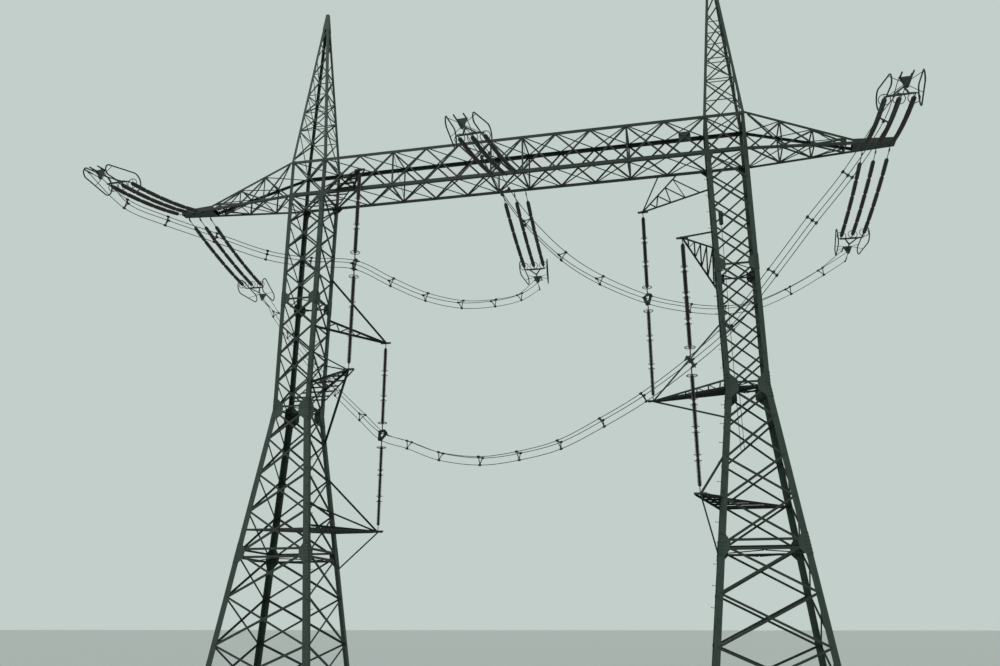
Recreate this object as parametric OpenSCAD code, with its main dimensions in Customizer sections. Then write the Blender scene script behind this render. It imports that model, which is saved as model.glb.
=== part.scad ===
// Lattice portal pylon: two square lattice towers carry a box beam with a cantilever arm past
// each tower, an earth-wire peak on each tower, six triple strain insulator sets and the
// jumper loops that carry the three phases across. Millimetres, Z up, X along the beam,
// front of the pylon towards -Y, origin on the ground midway between the towers.

/* [Portal] */
// Distance between the axes of the two towers
tower_pitch = 20300; // [19600:50:21000]
// Height of the underside of the beam above the ground
beam_level = 23100; // [22800:50:23600]
// Height of the box beam over its chords
beam_height = 1940; // [1800:10:2100]
// Depth of the box beam, front to back
beam_depth = 1940; // [1800:10:2100]
// Number of bays of the beam between the towers
bays = 11; // [9:2:13]
// Width of the middle bay of the beam
mid_bay = 1540; // [1400:10:1700]

/* [Towers] */
// Width of a tower at the ground, over its corners
base_width = 4790; // [4500:10:5000]
// Width of a tower at the waist, where the legs bend
waist_width = 1770; // [1700:10:1840]
// Width of a tower along the beam, at the top
head_width = 1830; // [1780:10:1900]
// Height of the waist above the ground
waist_level = 12200; // [11900:50:12500]
// Panel points of the flared lower part, as shares of the waist height
low_panels = [0.012, 0.164, 0.322, 0.471, 0.619, 0.754, 0.889];
// Number of crossed panels between the waist and the beam
high_panels = 8; // [7:1:9]
// Flange of the leg angles below the waist
leg_low = 250; // [220:5:260]
// Flange of the leg angles above the waist
leg_high = 200; // [180:5:220]
// Thickness of the leg angles
leg_t = 18; // [14:1:22]
// Flange of the bracing angles below the waist
brace_low = 90; // [80:5:100]
// Flange of the bracing angles above the waist
brace_high = 80; // [70:5:90]
// Side of the square base plates
foot_plate = 620; // [560:10:700]
// Thickness of the base plates
foot_t = 36; // [30:1:45]
// How far a base plate stands out beyond the corner of its leg
foot_out = 150; // [100:10:200]
// Thickness of the ribs between base plate and leg
foot_rib_t = 16; // [12:1:20]
// Height of the ribs between base plate and leg
foot_rib_h = 320; // [250:10:400]

/* [Beam and arms] */
// Flange of the chord angles
chord = 160; // [140:5:180]
// Thickness of the chord angles
chord_t = 12; // [10:1:14]
// Flange of the bracing angles of beam, arms and peaks
brace_beam = 78; // [68:2:84]
// Thickness of all bracing angles
brace_t = 7; // [6:1:9]
// Length of an arm beyond the outer legs, tip box included
arm_length = 6380; // [6200:10:6500]
// Flange of the chord angles of the arms
arm_chord = 110; // [95:5:112]
// Length of the plated box at the tip of an arm
tip_length = 1800; // [1650:10:1900]
// Width of an arm at its very end
tip_width = 420; // [380:10:480]
// Height of the plated box at the tip
tip_height = 240; // [230:5:270]
// Plate thickness of the tip box and of the gusset plates
plate_t = 12; // [10:1:16]

/* [Peaks] */
// Height of the peaks' tops above the ground
peak_level = 34500; // [34200:50:34800]
// Flange of the peak's leg angles
peak_leg = 125; // [110:5:140]
// Thickness of the peak's leg angles
peak_t = 10; // [8:1:14]
// Height of the plated cap on a peak
cap_height = 900; // [800:20:1000]
// Width of a peak under its cap
cap_width = 300; // [280:10:340]

/* [Insulators] */
// Distance from the tower axis to the middle of an outer strain set
phase_offset = 6530; // [6500:10:6560]
// Length of a strain string from its lug on the steelwork to the yoke
string_length = 6400; // [6300:10:6500]
// Slope of the strain strings below level, from end to end
string_slope = 13; // [11:0.5:15]
// Sag of a strain string at its middle
string_sag = 150; // [100:10:200]
// Slope of the line beyond the yokes
line_slope = 6; // [4:0.5:8]
// Spacing of the three strings at the steelwork
string_pitch = 570; // [540:10:600]
// Spacing of the three strings at the yoke
yoke_pitch = 530; // [510:5:550]
// Rods in series in one strain string
rods = 5; // [4:1:6]
// Length of one insulator rod with its caps
rod_length = 1110; // [1080:10:1120]
// Length of one rod of the jumpers' posts
sup_rod = 1250; // [1230:5:1255]
// Diameter of the sheds of a rod
shed_d = 190; // [170:2:200]
// Diameter of a rod's core
core_d = 84; // [70:2:100]
// Sheds on one rod
sheds = 4; // [3:1:9]

/* [Conductors] */
// Diameter of one conductor of a jumper
wire_d = 30; // [24:1:34]
// Spacing of the three conductors of a bundle
bundle = 400; // [380:10:420]

/* [Hidden] */
$fn = 32;
tower_x = tower_pitch / 2;
inner_x = tower_x - head_width / 2;
outer_x = tower_x + head_width / 2;
arm_end = outer_x + arm_length;
box_x = arm_end - tip_length;
beam_top = beam_level + beam_height;
out = 0.7;
// how much deeper each further bar of a lattice lies than the one it is fixed to
lap = 1.6;
// distance of a plate's edge from the heel of the leg that it lies on
heel = 8;
low = [for (s = low_panels) s * waist_level];
low_levels = concat(low, [waist_level - 60]);
high_step = (beam_level - waist_level) / high_panels;
high_levels = [for (i = [0:high_panels]) waist_level + i * high_step];
splice_z = waist_level + 4 * high_step;
half_bays = (bays - 1) / 2;
bay_growth = 0.07;
bay_x = [for (i = [0:half_bays]) let (t = i / half_bays)
    mid_bay / 2 + (inner_x - mid_bay / 2) * (t * (1 - bay_growth) + bay_growth * t * t)];
all_x = concat([for (i = [half_bays + 1:-1:0]) i > half_bays ? -outer_x : -bay_x[i]],
    [for (i = [0:half_bays + 1]) i > half_bays ? outer_x : bay_x[i]]);

// support posts of the jumpers: place, bracket tips and clamp height
sup1 = [-6900, -2200];
sup2 = [-6800, 2200];
sup3 = [6150, 2200];
sup4 = [7900, -2200];
sup1_z = [23480, 18550, 13500];
sup2_z = [16150, 11470, 6900];
sup3_z = [22000, 17430, 12450];
sup4_z = [18500, 12970, 7600];
clamp_half = 560;
// clearance of the conductors in the clamps of the posts
clamp_gap = 0.9;

steel = [0.20, 0.29, 0.26];
steel_dark = [0.12, 0.18, 0.17];
brown = [0.16, 0.10, 0.08];
metal = [0.42, 0.45, 0.46];

// Sizes that follow from the height
function mix(a, b, t) = a + (b - a) * t;
function half_x(z) = z < waist_level ? mix(base_width, waist_width, z / waist_level) / 2
    : mix(waist_width, head_width, min(1, (z - waist_level) / (beam_level - waist_level))) / 2;
function half_y(z) = z < waist_level ? mix(base_width, waist_width, z / waist_level) / 2
    : mix(waist_width, beam_depth, min(1, (z - waist_level) / (beam_level - waist_level))) / 2;
function along(k, z) = k % 2 == 0 ? half_x(z) : half_y(z);
function depth(k, z) = k % 2 == 0 ? half_y(z) : half_x(z);
function leg_point(side, sx, sy, z) = [side * tower_x + sx * half_x(z), sy * half_y(z), z];
function unit(v) = v / norm(v);
function arm_half(x) = mix(beam_depth / 2, tip_width / 2, (x - outer_x) / arm_length);

// Rolled sections
// an L-angle laid on the face plane from p to q: one flange flat, the other turned inwards
module angle_bar(p, q, b, t) {
    d = q - p;
    translate([p.x, p.y, 0]) rotate([0, 0, atan2(d.y, d.x)]) rotate([90, 0, 90])
        linear_extrude(norm(d))
            polygon([[-b / 2, 0], [b / 2, 0], [b / 2, -t], [-b / 2 + t, -t],
                [-b / 2 + t, -b * out], [-b / 2, -b * out]]);
}
// an L-angle between two points in space
module strut(p, q, b = 70, t = 7) {
    d = q - p;
    translate(p) rotate([0, acos(d.z / norm(d)), atan2(d.y, d.x)]) linear_extrude(norm(d))
        translate([-b / 3, -b / 3])
            polygon([[0, 0], [b, 0], [b, t], [t, t], [t, b], [0, b]]);
}
// a flat bar between two points in space
module flat_strut(p, q, b, t) {
    d = q - p;
    translate(p) rotate([0, acos(d.z / norm(d)), atan2(d.y, d.x)])
        translate([-t / 2, -b / 2, 0]) cube([t, b, norm(d)]);
}
// a corner leg in the face plane, heel on the edge line from p to q
module corner_leg(p, q, f, t, lean = 0, cut0 = 0, cut1 = 0) {
    d = q - p;
    translate([p.x, p.y, 0]) rotate([0, 0, atan2(d.y, d.x) - 90])
        translate([0, cut0, 0]) rotate([-90, 0, 0]) linear_extrude(norm(d) - cut0 - cut1)
            polygon([[0, 0], [f, 0], [f, t], [t, t], [t - lean * f, f], [-lean * f, f]]);
}
// a flat bar on the face plane from p to q
module flat_bar(p, q, b, t) {
    d = q - p;
    translate([p.x, p.y, -t]) rotate([0, 0, atan2(d.y, d.x)]) translate([0, -b / 2, 0])
        cube([norm(d), b, t]);
}
// turns the children onto tower face k: x along the face, y up the slope, z outwards
module tower_face(k, z0, z1) {
    tilt = atan2(depth(k, z0) - depth(k, z1), z1 - z0);
    rotate([0, 0, 90 * k]) translate([0, -depth(k, z0), z0]) rotate([90 - tilt, 0, 0]) children();
}
function slope_y(k, z0, z1, z) = (z - z0) * norm([depth(k, z0) - depth(k, z1), z1 - z0]) / (z1 - z0);

// crossed bracing of one tower face between the given levels
module crossed_face(k, z0, z1, levels, b, lt, extra = []) {
    inset = lt + b * out + b * 0.5;
    tower_face(k, z0, z1) translate([0, 0, -lt]) {
        for (i = [0:len(levels) - 2]) {
            a = levels[i];
            c = levels[i + 1];
            xa = along(k, a) - inset;
            xc = along(k, c) - inset;
            ya = slope_y(k, z0, z1, a);
            yc = slope_y(k, z0, z1, c);
            angle_bar([-xa, ya], [xc, yc], b, brace_t);
            translate([0, 0, -lap]) flat_bar([xa, ya], [-xc, yc], b - 4, brace_t);
        }
        for (z = extra) {
            x = along(k, z) - inset + b * 0.4;
            y = slope_y(k, z0, z1, z);
            translate([0, 0, -2 * lap]) angle_bar([-x, y], [x, y], b, brace_t);
        }
    }
}

// how far a leg leans across face k for each unit up the slope
function leg_lean(k, z0, z1) = (along(k, z0) - along(k, z1)) / slope_y(k, z0, z1, z1);
// splice plate on the outside of a leg of face k at height z, its long edge along the leg's heel
module splice_plate(k, z0, z1, z, f, w, h) {
    translate([-along(k, z), slope_y(k, z0, z1, z), -1]) rotate([0, 0, -atan(leg_lean(k, z0, z1))])
        linear_extrude(plate_t + 1) polygon([[heel, -h / 2], [f * 0.9, -h / 2], [w, -h / 5], [w, h / 5],
            [f * 0.9, h / 2], [heel, h / 2]]);
}
// one wing of the bent plates at the waist, up (s = 1) or down (s = -1) from y = 0
module waist_wing(k, z0, z1, s) {
    w = leg_low * 2;
    h = leg_low * 2.2;
    run = leg_lean(k, z0, z1) * s * h;
    translate([0, 0, -1]) linear_extrude(plate_t + 1)
        polygon([[heel, 0], [w, 0], [w, s * h * 0.4], [leg_high * 0.9 + run, s * h], [heel + run, s * h]]);
}

// stiffener between a base plate and the outside of a leg flange, upright in the plane y-z
module foot_rib(x) {
    lean = (base_width - waist_width) / 2 / waist_level;
    inner = leg_t / 2;
    translate([x - foot_rib_t / 2, 0, 0]) rotate([90, 0, 90]) linear_extrude(foot_rib_t)
        polygon([[20 - foot_out, foot_t - 2], [inner + foot_t * lean, foot_t - 2],
            [inner + foot_rib_h * lean, foot_rib_h], [inner + foot_rib_h * lean - 26, foot_rib_h],
            [20 - foot_out, foot_t + 30]]);
}
module legs_lower(side) {
    lean = pow(sin(atan2(base_width - waist_width, 2 * waist_level)), 2);
    top = slope_y(0, 0, waist_level, waist_level);
    color(steel) translate([side * tower_x, 0, 0])
        for (m = [0, 1], n = [0, 1]) mirror([m, 0, 0]) mirror([0, n, 0]) {
            difference() {
                tower_face(0, 0, waist_level)
                    corner_leg([-along(0, 0), 0], [-along(0, waist_level), top], leg_low, leg_t,
                        lean, -60, 0.3);
                translate([-base_width, -base_width, foot_t / 2 - 200]) cube([base_width, base_width, 200]);
            }
            for (k = [0, 1]) {
                tower_face(k, 0, waist_level) {
                    splice_plate(k, 0, waist_level, low_levels[3], leg_low, 430, 860);
                    translate([-along(k, waist_level), top - 2, 0]) waist_wing(k, 0, waist_level, -1);
                }
            }
            translate([-half_x(0) - foot_out, -half_y(0) - foot_out, 0]) cube([foot_plate, foot_plate, foot_t]);
            translate([-half_x(0), -half_y(0), 0]) {
                foot_rib(leg_low * 0.6);
                mirror([1, -1, 0]) foot_rib(leg_low * 0.6);
            }
        }
}

module legs_upper(side) {
    color(steel) translate([side * tower_x, 0, 0])
        for (m = [0, 1], n = [0, 1]) mirror([m, 0, 0]) mirror([0, n, 0]) {
            tower_face(0, waist_level, beam_level)
                corner_leg([-along(0, waist_level), 0],
                    [-along(0, beam_level), slope_y(0, waist_level, beam_level, beam_level)], leg_high, leg_t);
            for (k = [0, 1]) tower_face(k, waist_level, beam_level) {
                splice_plate(k, waist_level, beam_level, splice_z, leg_high, 420, 700);
                translate([-along(k, waist_level), 0, 0]) waist_wing(k, waist_level, beam_level, 1);
            }
        }
}

module lower_faces(side, ks) {
    color(steel_dark) translate([side * tower_x, 0, 0]) for (k = ks)
        crossed_face(k, 0, waist_level, low_levels, brace_low, leg_t,
            [low_levels[3] - 170, low_levels[3] + 170]);
}
module upper_faces(side, ks) {
    color(steel_dark) translate([side * tower_x, 0, 0]) for (k = ks)
        crossed_face(k, waist_level, beam_level, concat([waist_level + 60],
            [for (i = [1:high_panels - 1]) high_levels[i]], [beam_level - 60]),
            brace_high, leg_t, [waist_level + 160, splice_z]);
}
// plan bracing: a diamond of angles hung under the turned-in flanges of the face bars at z
module diamond(z, z0, z1, b) {
    tilt = atan2(depth(0, z0) - depth(0, z1), z1 - z0);
    x = half_x(z) - leg_t - b * out * 0.5;
    y = half_y(z) - leg_t - b * out * 0.5;
    translate([0, 0, z - b / 2 * cos(tilt) - (leg_t + 2 * lap + b * out) * sin(tilt)])
        for (m = [0, 1], n = [0, 1]) mirror([m, 0, 0]) mirror([0, n, 0])
            angle_bar([-x, 0], [0, -y], 60, brace_t);
}
module diaphragms(side) {
    color(steel_dark) translate([side * tower_x, 0, 0]) {
        diamond(low_levels[3] - 170, 0, waist_level, brace_low);
        diamond(waist_level + 160, waist_level, beam_level, brace_high);
        diamond(splice_z, waist_level, beam_level, brace_high);
    }
}

// Earth-wire peaks
peak_base = [head_width / 2, beam_depth / 2];
peak_top = peak_level - cap_height;
peak_shares = [0.012, 0.215, 0.345, 0.475, 0.635, 0.76, 0.875, 0.985];
peak_crossed = 4;
peak_apart = 62;
shoe_t = 20;
function peak_half(k, z) = mix(peak_base[k % 2], cap_width / 2, (z - beam_top) / (peak_top - beam_top));
peak_z = [for (s = peak_shares) mix(beam_top, peak_top, s)];
function peak_tilt(k) = atan2(peak_half(k + 1, beam_top) - peak_half(k + 1, peak_top), peak_top - beam_top);
module peak_face(k) {
    rotate([0, 0, 90 * k]) translate([0, -peak_half(k + 1, beam_top), beam_top])
        rotate([90 - peak_tilt(k), 0, 0]) children();
}
// four plates on the faces, cut to one outline by the planes of their outsides, and a lid
module peak_cap() {
    z0 = peak_top - 160;
    difference() {
        union() {
            for (k = [0:3]) peak_face(k) linear_extrude(plate_t + 3)
                polygon([for (c = [[-1, z0], [1, z0], [1, peak_level], [-1, peak_level]])
                    [c[0] * (peak_half(k, c[1]) + plate_t + 3), (c[1] - beam_top) / cos(peak_tilt(k))]]);
            translate([-120, -120, peak_level - 40]) cube([240, 240, plate_t]);
        }
        for (k = [0:3]) peak_face(k) translate([-2000, 0, plate_t]) cube([4000, 12000, 2000]);
    }
}
module peak(side) {
    color(steel) translate([side * tower_x, 0, 0]) {
        lean = sin(peak_tilt(0)) * sin(peak_tilt(1));
        for (m = [0, 1], n = [0, 1]) mirror([m, 0, 0]) mirror([0, n, 0]) {
            peak_face(0) corner_leg([-peak_half(0, beam_top), 0],
                [-peak_half(0, peak_top), (peak_top - beam_top) / cos(peak_tilt(0))],
                peak_leg, peak_t, lean, 14);
            translate([-peak_base[0], -peak_base[1], beam_top]) cube([chord + 30, chord, shoe_t]);
        }
        for (k = [0:3]) peak_face(k) {
            g = 1 / cos(peak_tilt(k));
            inset = peak_leg * 0.65;
            translate([0, 0, -peak_t]) for (i = [0:len(peak_z) - 2]) {
                xa = max(30, peak_half(k, peak_z[i]) - inset);
                xc = max(30, peak_half(k, peak_z[i + 1]) - inset);
                ya = (peak_z[i] - beam_top) * g + peak_apart;
                yc = (peak_z[i + 1] - beam_top) * g - peak_apart;
                s = i % 2 == 0 ? 1 : -1;
                translate([0, 0, lap]) angle_bar([-s * xa, ya], [s * xc, yc], 60, brace_t);
                if (i < peak_crossed)
                    translate([0, 0, 0.4]) flat_bar([s * xa, ya], [-s * xc, yc], 56, brace_t);
                if (i > 0 && i <= peak_crossed)
                    translate([0, 0, lap]) flat_bar([-xa, ya - peak_apart], [xa, ya - peak_apart], 50, brace_t);
            }
        }
        peak_cap();
    }
}

// Box beam
module beam_face(k) {
    translate([0, 0, beam_level + beam_height / 2]) rotate([-90 * k, 0, 0])
        translate([0, -(k % 2 == 0 ? beam_depth : beam_height) / 2, 0]) rotate([90, 0, 0]) children();
}
module beam_chords() {
    color(steel_dark) for (n = [0, 1], m = [0, 1])
        translate([0, 0, beam_level + beam_height / 2]) mirror([0, n, 0]) mirror([0, 0, m])
            translate([-outer_x, -beam_depth / 2, -beam_height / 2]) rotate([90, 0, 90])
                linear_extrude(2 * outer_x)
                    polygon([[0, 0], [chord, 0], [chord, chord_t], [chord_t, chord_t],
                        [chord_t, chord], [0, chord]]);
    // gusset plates over the joints of legs and chords
    color(steel_dark) for (m = [0, 1], n = [0, 1], e = [0, 1])
        mirror([m, 0, 0]) mirror([0, n, 0]) translate([e == 0 ? inner_x : outer_x, -beam_depth / 2, beam_level])
            mirror([e, 0, 0]) rotate([90, 0, 0]) linear_extrude(plate_t)
                polygon([[2, -gusset_h], [leg_high * 0.9, -gusset_h],
                    [leg_high + 160, 60], [leg_high + 160, chord - 4],
                    [e == 0 ? -260 : 2, chord - 4], [e == 0 ? -260 : 2, 40], [2, -gusset_h * 0.5]]);
}
gusset_h = 420;
// distance of a bar's end from the corner of the beam, so that the bars of two faces stay clear
beam_inset = chord_t + brace_beam * out + brace_beam * 0.4;
post_end = chord_t + brace_beam * out + 8;
frame_posts = [half_bays - 2, half_bays + 1, half_bays + 2, half_bays + 5];
module beam_lattice(k) {
    h2 = (k % 2 == 0 ? beam_height : beam_depth) / 2;
    b = brace_beam;
    y = h2 - beam_inset;
    e = k % 2 == 0 ? chord_t + 2 : post_end;
    color(steel_dark) beam_face(k) translate([0, 0, -chord_t]) {
        for (i = [0:len(all_x) - 2]) {
            x0 = all_x[i] + (i == 0 ? chord : 0);
            x1 = all_x[i + 1] - (i == len(all_x) - 2 ? chord : 0);
            angle_bar([x0, -y], [x1, y], b, brace_t);
            translate([0, 0, -lap]) flat_bar([x0 + 9, y - 5], [x1 - 9, 5 - y], b - 6, brace_t);
        }
        for (j = frame_posts)
            translate([0, 0, -2 * lap]) angle_bar([all_x[j], e - h2], [all_x[j], h2 - e], b - 2, brace_t);
        for (s = [-1, 1]) translate([0, 0, -2 * lap]) {
            if (k % 2 == 0) {
                // head posts over the four legs of a tower, heels outwards
                v = h2 - post_end;
                w = leg_high * 0.8;
                angle_bar([s * (inner_x + w / 2), s * v], [s * (inner_x + w / 2), -s * v], w, chord_t);
                angle_bar([s * (outer_x - w / 2), -s * v], [s * (outer_x - w / 2), s * v], w, chord_t);
            } else {
                angle_bar([s * (inner_x + 60), -y], [s * (inner_x + 60), y], b, brace_t);
                translate([0, 0, 2 * lap])
                    angle_bar([s * (outer_x - 60), -y], [s * (outer_x - 60), y], b, brace_t);
            }
        }
    }
}
// crossed frames inside the beam, lapped on the turned-in flanges of the posts
module beam_cross_frames() {
    w = beam_depth / 2 - chord_t - brace_t - 26;
    h = beam_height / 2 - beam_inset - 70;
    color(steel_dark) for (j = frame_posts)
        translate([all_x[j] + brace_beam / 2 - brace_t, 0, beam_level + beam_height / 2]) rotate([90, 0, 90]) {
            angle_bar([-w, -h], [w, h], 60, brace_t);
            translate([0, 0, -lap]) flat_bar([-w, h], [w, -h], 56, brace_t);
        }
}

// Cantilever arms
arm_panels = [0.03, 0.33, 0.63, 0.93];
arm_turn = atan2(beam_depth / 2 - arm_half(box_x), box_x - outer_x);
arm_run = (box_x - outer_x) / cos(arm_turn);
arm_fall = beam_height - tip_height;
function arm_side_top(u) = beam_height - arm_fall * u / arm_run;
module arm() {
    c = chord_t + brace_beam * out;
    slope = atan2(arm_fall, arm_run);
    tilt = atan2(arm_fall, box_x - outer_x);
    color(steel) difference() {
        union() {
            for (n = [0, 1]) mirror([0, n, 0]) translate([outer_x, -beam_depth / 2, beam_level])
                rotate([0, 0, arm_turn]) rotate([90, 0, 0]) {
                    translate([-40, 0, 0]) rotate([90, 0, 90]) linear_extrude(arm_run + 80)
                        polygon([[0, 0], [arm_chord, 0], [arm_chord, -chord_t], [chord_t, -chord_t],
                            [chord_t, -arm_chord], [0, -arm_chord]]);
                    translate([0, beam_height, 0]) rotate([0, 0, -slope])
                        translate([-60, 0, 0]) rotate([90, 0, 90]) linear_extrude(arm_run / cos(slope) + 100)
                            polygon([[0, 0], [-arm_chord, 0], [-arm_chord, -chord_t], [-chord_t, -chord_t],
                                [-chord_t, -arm_chord], [0, -arm_chord]]);
                    translate([0, 0, -chord_t]) for (i = [0:3]) {
                        u = arm_panels[i] * arm_run;
                        if (i > 0)
                            translate([0, 0, 0.7]) angle_bar([u, 30], [u, arm_side_top(u) - 40], 66, brace_t);
                        if (i < 3) {
                            v = arm_panels[i + 1] * arm_run;
                            translate([0, 0, lap]) angle_bar([u, 90], [v, arm_side_top(v) - 100], 70, brace_t);
                            translate([0, 0, -0.8])
                                flat_bar([u + 6, arm_side_top(u) - 104], [v - 6, 94], 64, brace_t);
                        }
                    }
                }
            for (f = [0, 1]) translate([outer_x, 0, f == 0 ? beam_level + chord_t : beam_top])
                rotate([0, f * tilt, 0]) translate([0, 0, -f * chord_t]) mirror([0, 0, 1 - f])
                    for (i = [0:3]) {
                        g = f == 0 ? 1 : 1 / cos(tilt);
                        u = arm_panels[i] * (box_x - outer_x);
                        a = arm_half(outer_x + u) - c - 30;
                        if (i > 0)
                            translate([0, 0, 0.7]) angle_bar([u * g, -a - 20], [u * g, a + 20], 66, brace_t);
                        if (i < 3) {
                            v = arm_panels[i + 1] * (box_x - outer_x);
                            b = arm_half(outer_x + v) - c - 30;
                            translate([0, 0, lap]) angle_bar([u * g, -a], [v * g, b], 70, brace_t);
                            translate([0, 0, -0.8])
                                flat_bar([u * g + 6, a - 4], [v * g - 6, 4 - b], 64, brace_t);
                        }
                    }
        }
        for (x = [outer_x - 400, box_x]) translate([x, -beam_depth, beam_level - 400])
            cube([400, 2 * beam_depth, beam_height + 800]);
    }
}
module arm_tip() {
    color(steel) translate([0, 0, beam_level]) difference() {
        linear_extrude(tip_height) polygon([[box_x, -arm_half(box_x)], [arm_end, -tip_width / 2],
            [arm_end, tip_width / 2], [box_x, arm_half(box_x)]]);
        translate([0, 0, plate_t]) linear_extrude(tip_height - 2 * plate_t) polygon([
            [box_x - 1, -arm_half(box_x) + plate_t], [arm_end - plate_t, -tip_width / 2 + plate_t],
            [arm_end - plate_t, tip_width / 2 - plate_t], [box_x - 1, arm_half(box_x) - plate_t]]);
    }
}

// Strain sets
yoke_t = 24;
lug_drop = 100;
link_length = 560;
phase_x = tower_x + phase_offset;
// turn of the sets and of the line about the vertical, in degrees: middle set, spread, line
front_turn = [-1.8, -2.8, -2.5];
back_turn = [1, 1.5, 1.6];
function edge_y(x) = abs(x) < outer_x ? beam_depth / 2 : arm_half(abs(x));
// start of string i (-1, 0, 1) of a set at x, on the front (s = -1) or the back (s = 1)
function string_start(x, s, i) = let (u = x + i * string_pitch)
    [u, s * (edge_y(u) + 40), beam_level - lug_drop];
function set_turn(x, s) = let (t = s < 0 ? front_turn : back_turn) t[0] + t[1] * sign(x);
function line_turn(s) = (s < 0 ? front_turn : back_turn)[2];
// direction away from the beam, turned by a and sloping down by b
function away(s, a, b) = [-s * sin(a) * cos(b), s * cos(a) * cos(b), -sin(b)];
function line_side(s) = [cos(line_turn(s)), sin(line_turn(s)), 0];
function yoke_mid(x, s) = string_start(x, s, 0) + string_length * away(s, set_turn(x, s), string_slope);
function yoke_pin(x, s, i) = yoke_mid(x, s) + i * yoke_pitch * line_side(s);
// a point given along the line, aside and above the yoke's middle
function at_yoke(x, s, a, b, c) = yoke_mid(x, s) + a * away(s, line_turn(s), line_slope)
    + b * line_side(s) - c * away(s, line_turn(s), line_slope + 90);
// joint r of a string, counted from its lug, and the point of string i at the distance u
function joint(r) = r == 0 ? 0 : r == rods ? 2 * string_length : link_length + r * rod_length;
function on_string(x, s, i, u) = let (p = string_start(x, s, i), q = yoke_pin(x, s, i),
    t = min(1, u / norm(q - p)))
    mix(p, q, t) + 4 * string_sag * t * (1 - t) * away(s, set_turn(x, s), string_slope + 90);

module line_up(p, q) {
    d = q - p;
    translate(p) rotate([0, acos(d.z / norm(d)), atan2(d.y, d.x)]) children();
}
// moves children to the yoke: y outwards along the line, z up from it
module yoke_frame(x, s) {
    translate(yoke_mid(x, s)) rotate([0, 0, line_turn(s) + (s < 0 ? 180 : 0)])
        rotate([-line_slope, 0, 0]) children();
}
// outline of one rod: cap, sheds, cap; its pin starts at e
cap_r = 52;
pin_r = 26;
knuckle_r = 36;
pin_gap = 4;
function rod_outline(z0, l, e = 0) = let (cap = 95, n = sheds, p = (l - 2 * cap - 20) / n) concat(
    [[pin_r, z0 + e], [pin_r, z0 + 12], [cap_r, z0 + 12], [cap_r, z0 + cap], [core_d / 2, z0 + cap]],
    [for (i = [0:n - 1], j = [0:2]) let (z = z0 + cap + 10 + i * p)
        j == 0 ? [core_d / 2, z] : j == 1 ? [shed_d / 2, z + p * 0.7] : [core_d / 2, z + p * 0.85]],
    [[core_d / 2, z0 + l - cap], [cap_r, z0 + l - cap], [cap_r, z0 + l - 12], [pin_r, z0 + l - 12]]);
module rod_string(n, l) {
    rotate_extrude() polygon(concat([[0, 0]], [for (r = [0:n - 1]) each rod_outline(r * l, l)],
        [[pin_r, n * l], [0, n * l]]));
}
module strain_insulators(x, s) {
    color(brown) for (i = [-1:1]) {
        for (r = [0:rods - 1]) line_up(on_string(x, s, i, joint(r)), on_string(x, s, i, joint(r + 1)))
            translate([0, 0, r == 0 ? link_length : 0]) rotate_extrude()
                polygon(concat([[0, pin_gap]], rod_outline(0, rod_length, pin_gap),
                    [[pin_r, rod_length - pin_gap], [0, rod_length - pin_gap]]));
        for (r = [1:rods - 1]) translate(on_string(x, s, i, joint(r))) sphere(r = knuckle_r);
    }
}
// upright guard loop, wide end towards the insulators: two arcs and their common tangents
loop_big = 420;
loop_small = 230;
loop_from = -150;
loop_run = 1450;
loop_x = 700;
loop_r = 29;
loop_toe = 5.5;
module guard_loop() {
    phi = asin((loop_big - loop_small) / loop_run);
    translate([loop_from, 0, 0]) rotate([0, 0, 90 - phi]) rotate_extrude(angle = 180 + 2 * phi)
        translate([loop_big, 0]) circle(r = loop_r);
    translate([loop_from + loop_run, 0, 0]) rotate([0, 0, phi - 90]) rotate_extrude(angle = 180 - 2 * phi)
        translate([loop_small, 0]) circle(r = loop_r);
    for (m = [0, 1]) mirror([0, m, 0]) translate([loop_from + loop_big * sin(phi), loop_big * cos(phi), 0])
        rotate([0, 0, -phi]) rotate([0, 90, 0]) translate([0, 0, -6])
            cylinder(h = loop_run * cos(phi) + 12, r = loop_r - 0.8);
}
function loop_half(u) = let (phi = asin((loop_big - loop_small) / loop_run))
    loop_big * cos(phi) - (u - loop_from - loop_big * sin(phi)) * tan(phi);
// the stays of a loop: distance along it and side, up (1) or down (-1)
loop_stays = [[640, -1], [1180, 1]];
stay_root = 900;
ring_r = 215;
ring_t = 16;
apex_at = 690;
clamp_from = 1120;
clamp_at = 1490;
clamp_r = 30;
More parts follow.
